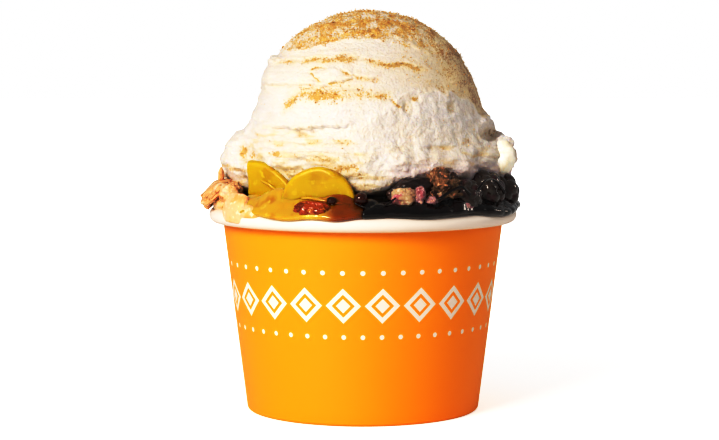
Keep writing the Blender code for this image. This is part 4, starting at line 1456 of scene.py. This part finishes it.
@dataclass
class Berry:
    """A dark berry: a ball of drupelets, each a small dome round one of an even spread of directions."""

    name: str
    place: tuple[float, ...]
    size: tuple[float, float, float]
    drupelets: int = 44
    depth: float = 0.20
    finish: str = ""
    dome_width: float = 2.3
    rows: int = 56
    columns: int = 88

    def build(self, dresser: Dresser) -> None:
        """Show the berry: a point's radius is 1 less depth, plus depth times the nearest dome's height."""
        ball = unit_ball(self.rows, self.columns)
        middles = spread_directions(self.drupelets)
        near = np.sqrt(np.maximum(2.0 - 2.0 * (ball @ middles.T).max(axis=-1), 0.0))
        width = self.dome_width / math.sqrt(self.drupelets)
        dome = np.sqrt(np.maximum(1.0 - (near / width) ** 2, 0.0))
        share = 1.0 - self.depth + self.depth * dome
        grid = ball * share[..., None] * np.array(self.size) / 2 * MM
        grid = placed(grid, ring_place(*self.place))
        dresser.show(self.name, ball_surface(grid), "dark_berry", finish=self.finish)


@dataclass(frozen=True)
class Strand:
    """A thread or drop of syrup or melt: a tube through (x, y, z, radius) stops in mm, its ends rounded."""

    name: str
    stops: tuple[tuple[float, float, float, float], ...]
    slot: str
    rough: float
    finish: str = ""
    rows: int = 60
    columns: int = 24

    def build(self, dresser: Dresser) -> None:
        """Show the strand: rings across a Catmull-Rom line, their radius a quarter circle near each end."""
        stops = np.array(self.stops)
        stops = np.concatenate((2 * stops[:1] - stops[1:2], stops, 2 * stops[-1:] - stops[-2:-1]))
        along = np.linspace(0.0, 1.0, self.rows)
        columns = np.repeat(stops.T[..., None], self.rows, axis=-1)
        line = np.stack([spline(column, along) for column in columns], axis=-1)
        middle, radius = line[:, :3], line[:, 3]
        run = np.gradient(middle, axis=0)
        run /= np.linalg.norm(run, axis=1)[:, None]
        side = np.cross(run, np.array((0.13, 0.97, 0.21)))
        side /= np.linalg.norm(side, axis=1)[:, None]
        other = np.cross(run, side)
        step = np.linalg.norm(np.diff(middle, axis=0), axis=1)
        done = np.concatenate(((0.0,), np.cumsum(step)))
        for end_radius, distance in ((radius[0], done), (radius[-1], done[-1] - done)):
            short = np.clip(1.0 - distance / end_radius, 0.0, 1.0)
            radius = radius * np.sqrt(np.maximum(1.0 - short**2, 0.02))
        turn = 2 * math.pi * np.arange(self.columns) / self.columns
        ring = np.cos(turn)[None, :, None] * side[:, None] + np.sin(turn)[None, :, None] * other[:, None]
        rough = 1.0 + self.rough * layered_noise(middle[:, None] + ring * radius[:, None, None], 1.6, 7, 3)
        grid = middle[:, None] + ring * (radius[:, None] * rough)[..., None]
        values = {label: np.zeros(grid.shape[:2]) for label in ("dust", "stain", "haze_and_shade")}
        dresser.show(self.name, ball_surface(grid * MM, values), self.slot, finish=self.finish)


@dataclass
class Toppings:
    """The fruit, crust and dough in a ring between the rim and the scoop, named for where they lie."""

    slices: tuple[PeachSlice, ...] = (
        PeachSlice("peach_slice_front", (252, 42.6, 66.0, 5, 4), 11.4, 4, 176, 40, 61, 0.9, 0.38),
        PeachSlice("peach_slice_left", (213, 41.0, 61.6, 26, 0, 2), 17.0, 14, 93, 34, 62),
        PeachSlice("peach_slice_back_left", (155, 42.0, 61.4, 6), 15.5, 20, 165, 38, 63),
        PeachSlice("peach_slice_back", (101, 41.6, 60.6, -5), 16.0, 15, 150, 34, 64),
    )
    lumps: tuple[Lump, ...] = (
        Lump("peach_piece_red", (251.5, 45.6, 65.0), (10.5, 5.6, 5.4), 5, "red_peach", 0.2, 0.22),
        Lump(
            "crust_left", (190, 44.6, 69.0, 0, 14), (16.0, 13.0, 5.2), 31, "baked_crust", 0.2, 0.2, droop=2.2,
        ),
        Lump("crust_knob", (181.5, 48.4, 64.8), (3.4, 3.2, 4.6), 33, "baked_crust", 0.12, 0.2),
        Lump("crust_root", (203, 43.6, 68.2, 0, 8), (10.0, 7.0, 7.0), 37, "baked_crust", 0.16, 0.2),
        Lump("dough_under_crust", (195, 45.0, 64.6), (13.0, 4.6, 5.0), 39, "pale_dough", 0.10, 0.05),
        Lump(
            "dough_left", (214.5, 45.8, 64.6), (13.0, 5.0, 8.8), 17, "pale_dough", 0.08, droop=3.0,
            square=0.8,
        ),
        Lump("dough_tail", (223, 46.4, 63.6), (12.0, 3.2, 4.4), 19, "pale_dough", 0.08, droop=1.4),
        Lump("crust_spike", (190, 44.4, 73.2, 0, 0, 10), (2.6, 2.0, 4.6), 35, "baked_crust", 0.1, 0.2),
        Lump("crust_dark", (303, 42.2, 69.6, 0, 0, -6), (13.0, 7.5, 9.8), 41, "stained_crust", 0.2, 0.7),
        Lump(
            "crust_drowned", (289, 41.6, 70.4, 0, 0, -14), (13.5, 6.5, 6.4), 43, "stained_crust", 0.16, 0.16,
            finish="drowned_crust",
        ),
        Lump("dough_tan", (285.5, 44.3, 68.7), (7.2, 5.2, 5.8), 51, "stained_dough", 0.14, 0.16),
        Lump(
            "dough_pink", (291.5, 45.4, 69.2), (3.0, 3.4, 5.8), 53, "stained_dough", 0.16, 0.3,
            finish="crimson_dough",
        ),
        Lump(
            "dough_crumb_low", (296.0, 45.9, 67.6), (3.6, 3.0, 2.6), 55, "stained_dough", 0.2, 0.4,
            finish="crimson_dough",
        ),
        Lump("dough_crumb_high", (299.0, 45.2, 69.0), (2.6, 2.6, 2.2), 57, "stained_dough", 0.2, 0.4),
        Lump("crust_back_left", (127.5, 43.8, 68.2), (11.0, 9.0, 10.0), 61, "baked_crust", 0.20, 0.3),
        Lump("crust_back_right", (52, 42.6, 69.0), (15.0, 11.0, 11.5), 71, "stained_crust", 0.20, 0.4),
        Lump(
            "red_fruit_bit", (312.2, 46.0, 65.6), (5.0, 3.2, 3.4), 73, "red_peach", 0.15, 0.1,
            finish="crimson_dough",
        ),
        Lump(
            "red_drupelet", (258.6, 46.0, 67.9), (2.9, 2.8, 2.5), 75, "red_peach", 0.03, finish="garnet_drop",
        ),
    )
    berries: tuple[Berry, ...] = (
        Berry("berry_right", (349, 42.2, 68.2), (13.5, 14.0, 13.0), 22),
        Berry("berry_front_right", (331, 42.0, 69.0, 0, 0, 20), (14.5, 12.5, 13.5), 40),
        Berry("berry_front", (314.5, 43.4, 68.0, 0, 0, -15), (11.5, 9.5, 11.0)),
        Berry("berry_back_right", (11, 42.4, 68.0, 0, 0, 10), (14.5, 13.0, 13.0)),
        Berry("berry_far_right", (31, 42.4, 68.0, 0, 0, -20), (12.5, 12.5, 12.5)),
        Berry("berry_back", (75, 43.0, 67.6, 0, 0, 15), (13.0, 12.5, 12.0)),
        Berry("berry_small", (269.2, 44.0, 68.2), (4.4, 4.2, 4.2), 7, 0.07, "garnet_drop"),
    )
    strands: tuple[Strand, ...] = (
        Strand(
            "cream_drip",
            ((40.0, -11.5, 83.0, 2.4), (42.5, -12.8, 80.6, 3.8), (42.1, -13.6, 77.2, 3.7),
             (40.6, -14.2, 74.2, 2.4)),
            "ice_cream", 0.1, "melted_cream",
        ),
        Strand(
            "cream_drip_cap", ((40.6, -9.6, 83.6, 1.6), (43.8, -10.0, 83.8, 1.8), (46.2, -9.8, 82.2, 1.3)),
            "ice_cream", 0.25,
        ),
        Strand(
            "syrup_thread_left",
            ((-30.6, -25.2, 72.6, 0.3), (-28.4, -26.6, 71.6, 0.4), (-25.6, -28.4, 69.6, 0.5),
             (-22.6, -30.2, 67.4, 0.8)),
            "peach_syrup", 0.2,
        ),
        Strand(
            "syrup_thread_right",
            ((-20.0, -36.0, 67.8, 0.35), (-15.5, -41.8, 68.4, 0.4), (-9.0, -44.6, 67.4, 0.5),
             (-3.6, -45.4, 66.6, 0.4)),
            "peach_syrup", 0.2,
        ),
        Strand(
            "berry_thread_left",
            ((-2.4, -45.8, 67.2, 0.25), (1.5, -46.6, 65.8, 0.3), (5.6, -46.6, 66.2, 0.3),
             (9.6, -45.6, 68.8, 0.25)),
            "berry_syrup", 0.1,
        ),
        Strand(
            "berry_thread_middle",
            ((22.0, -42.0, 68.0, 0.5), (26.0, -40.6, 70.6, 0.4), (29.0, -38.6, 71.4, 0.4),
             (31.6, -37.0, 69.0, 0.5)),
            "berry_syrup", 0.1,
        ),
        Strand(
            "berry_thread_right",
            ((33.6, -35.0, 70.2, 0.4), (36.4, -31.4, 73.0, 0.35), (39.6, -27.6, 72.6, 0.35),
             (42.6, -24.6, 68.6, 0.5)),
            "berry_syrup", 0.1,
        ),
    )

    def build(self, dresser: Dresser) -> None:
        """Show every topping."""
        for piece in (*self.slices, *self.lumps, *self.berries, *self.strands):
            piece.build(dresser)


# Stage


@dataclass
class Stage:
    """A white table: a key light from the front left, a weak fill at the right, and the photo's camera."""

    camera_distance: float = 609 * MM
    camera_height: float = 106.4 * MM
    camera_pitch: float = math.radians(4.47)
    camera_turn: float = math.radians(0.10)
    focal_px: float = 1954.0
    photo_width_px: float = 719.0
    sensor: float = 36.0
    floor_radius: float = 6.0
    world_light: float = 0.43
    key_place: tuple[float, float, float] = (-0.66, -0.95, 0.66)
    key_power: float = 15.8
    key_side: float = 0.5
    edge_place: tuple[float, float, float] = (0.95, 0.25, 0.35)
    edge_power: float = 1.3
    edge_side: float = 0.22
    aim_height: float = 0.07
    floor_depth: float = 0.02
    # The photo's contrast curve, as scene light in and print light out: deep darks and full, even lights.
    contrast: tuple[tuple[float, float], ...] = (
        (0.04, 0.006), (0.1, 0.018), (0.2, 0.045), (0.3, 0.10), (0.4, 0.21),
        (0.5, 0.36), (0.6, 0.52), (0.7, 0.68), (0.8, 0.82), (0.9, 0.93),
    )

    def camera(self) -> None:
        """The camera: its lens gives the photo's focal length in pixels."""
        data = bpy.data.cameras.new("photo_camera")
        data.sensor_width = self.sensor
        data.lens = self.sensor * self.focal_px / self.photo_width_px
        data.clip_start = 0.01
        data.clip_end = 50.0
        made = bpy.data.objects.new("photo_camera", data)
        made.location = (0.0, -self.camera_distance, self.camera_height)
        made.rotation_euler = (math.pi / 2 - self.camera_pitch, 0.0, self.camera_turn)
        bpy.context.scene.collection.objects.link(made)
        bpy.context.scene.camera = made

    def light(
        self, name: str, place: tuple[float, float, float], side: float, power: float, warmth: str
    ) -> None:
        """A square soft light that faces the cup."""
        data = bpy.data.lights.new(name, "AREA")
        data.size = side
        data.energy = power
        data.color = linear(warmth)[:3]
        made = bpy.data.objects.new(name, data)
        made.location = place
        aim = Vector((0.0, 0.0, self.aim_height)) - Vector(place)
        made.rotation_euler = aim.to_track_quat("-Z", "Y").to_euler()
        bpy.context.scene.collection.objects.link(made)

    def floor(self) -> None:
        """A round white table top, part of the stage; to the camera alone it glows, painted light that pales
        the cup's shadow and fades the table into the white room.
        """
        bearing = 2 * math.pi * np.arange(96) / 96
        radii = np.array((0.5, 1.0))[:, None] * self.floor_radius
        top = np.stack((radii * np.cos(bearing), radii * np.sin(bearing), np.zeros((2, 96))), axis=-1)
        under = top[::-1] - np.array((0.0, 0.0, self.floor_depth))
        surface = ball_surface(np.concatenate((top, under)))
        paint = Paint("white_table_glowing_to_camera")
        paint.shader.inputs["Base Color"].default_value = linear("#F2F2F1")
        paint.shader.inputs["Roughness"].default_value = 0.6
        # Painted light: a glow of about half strength near the cup, paling its shadow, rising to full past
        # 0.6 m.
        fading = {"Value": paint.length(paint.place), 1: 0.05, 2: 0.6, 3: 0.52, 4: 1.0}
        fade = add_node(paint.tree, "ShaderNodeMapRange", fading).outputs[0]
        seen = add_node(paint.tree, "ShaderNodeLightPath").outputs["Is Camera Ray"]
        paint.tree.links.new(paint.calc("MULTIPLY", fade, seen), paint.shader.inputs["Emission Strength"])
        paint.shader.inputs["Emission Color"].default_value = (1.0, 1.0, 1.0, 1.0)
        table = bpy.data.objects.new("table_top", surface.mesh("table_top"))
        table.data.materials.append(paint.material)
        bpy.context.scene.collection.objects.link(table)

    def world(self) -> None:
        """A white room: the camera sees plain white, and the surfaces get its softer light."""
        made = bpy.data.worlds.new("white_room")
        made.use_nodes = True
        tree = made.node_tree
        background = tree.nodes["Background"]
        seen = add_node(tree, "ShaderNodeLightPath").outputs["Is Camera Ray"]
        shares = {0: seen, 2: self.world_light, 3: 1.0}
        strength = add_node(tree, "ShaderNodeMix", shares, data_type="FLOAT").outputs[0]
        tree.links.new(strength, background.inputs["Strength"])
        background.inputs["Color"].default_value = (1.0, 1.0, 1.0, 1.0)
        bpy.context.scene.world = made

    def development(self) -> None:
        """The picture's tone: plain sRGB behind the photo's contrast curve."""
        view = bpy.context.scene.view_settings
        view.view_transform = "Standard"
        view.use_curve_mapping = True
        curve = view.curve_mapping.curves[3]
        for light_in, light_out in self.contrast:
            curve.points.new(light_in, light_out)
        view.curve_mapping.update()

    def build(self) -> None:
        """Set the stage."""
        self.camera()
        self.floor()
        self.world()
        self.light("key_softbox", self.key_place, self.key_side, self.key_power, "#FFF7EC")
        self.light("edge_card", self.edge_place, self.edge_side, self.edge_power, "#FFF4EA")
        self.development()


def main() -> None:
    """Load the frame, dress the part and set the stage."""
    logging.basicConfig(level=logging.INFO, format="%(message)s")
    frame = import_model()
    dresser = Dresser(frozenset(subpart["node"] for subpart in frame["record"]["subparts"]))
    cup = PaperCup()
    cup.build(dresser)
    Syrup(cup, Side.PEACH, 101, PEACH_POOLS).build(dresser)
    berry_side = Syrup(
        cup, Side.BERRY, 202, BERRY_POOLS, lip_thickness=2.3 * MM, bumps=0.7 * MM, bump_cell=3.6 * MM
    )
    berry_side.build(dresser)
    Scoop().build(dresser)
    Toppings().build(dresser)
    Stage().build()


if __name__ == "__main__":
    main()
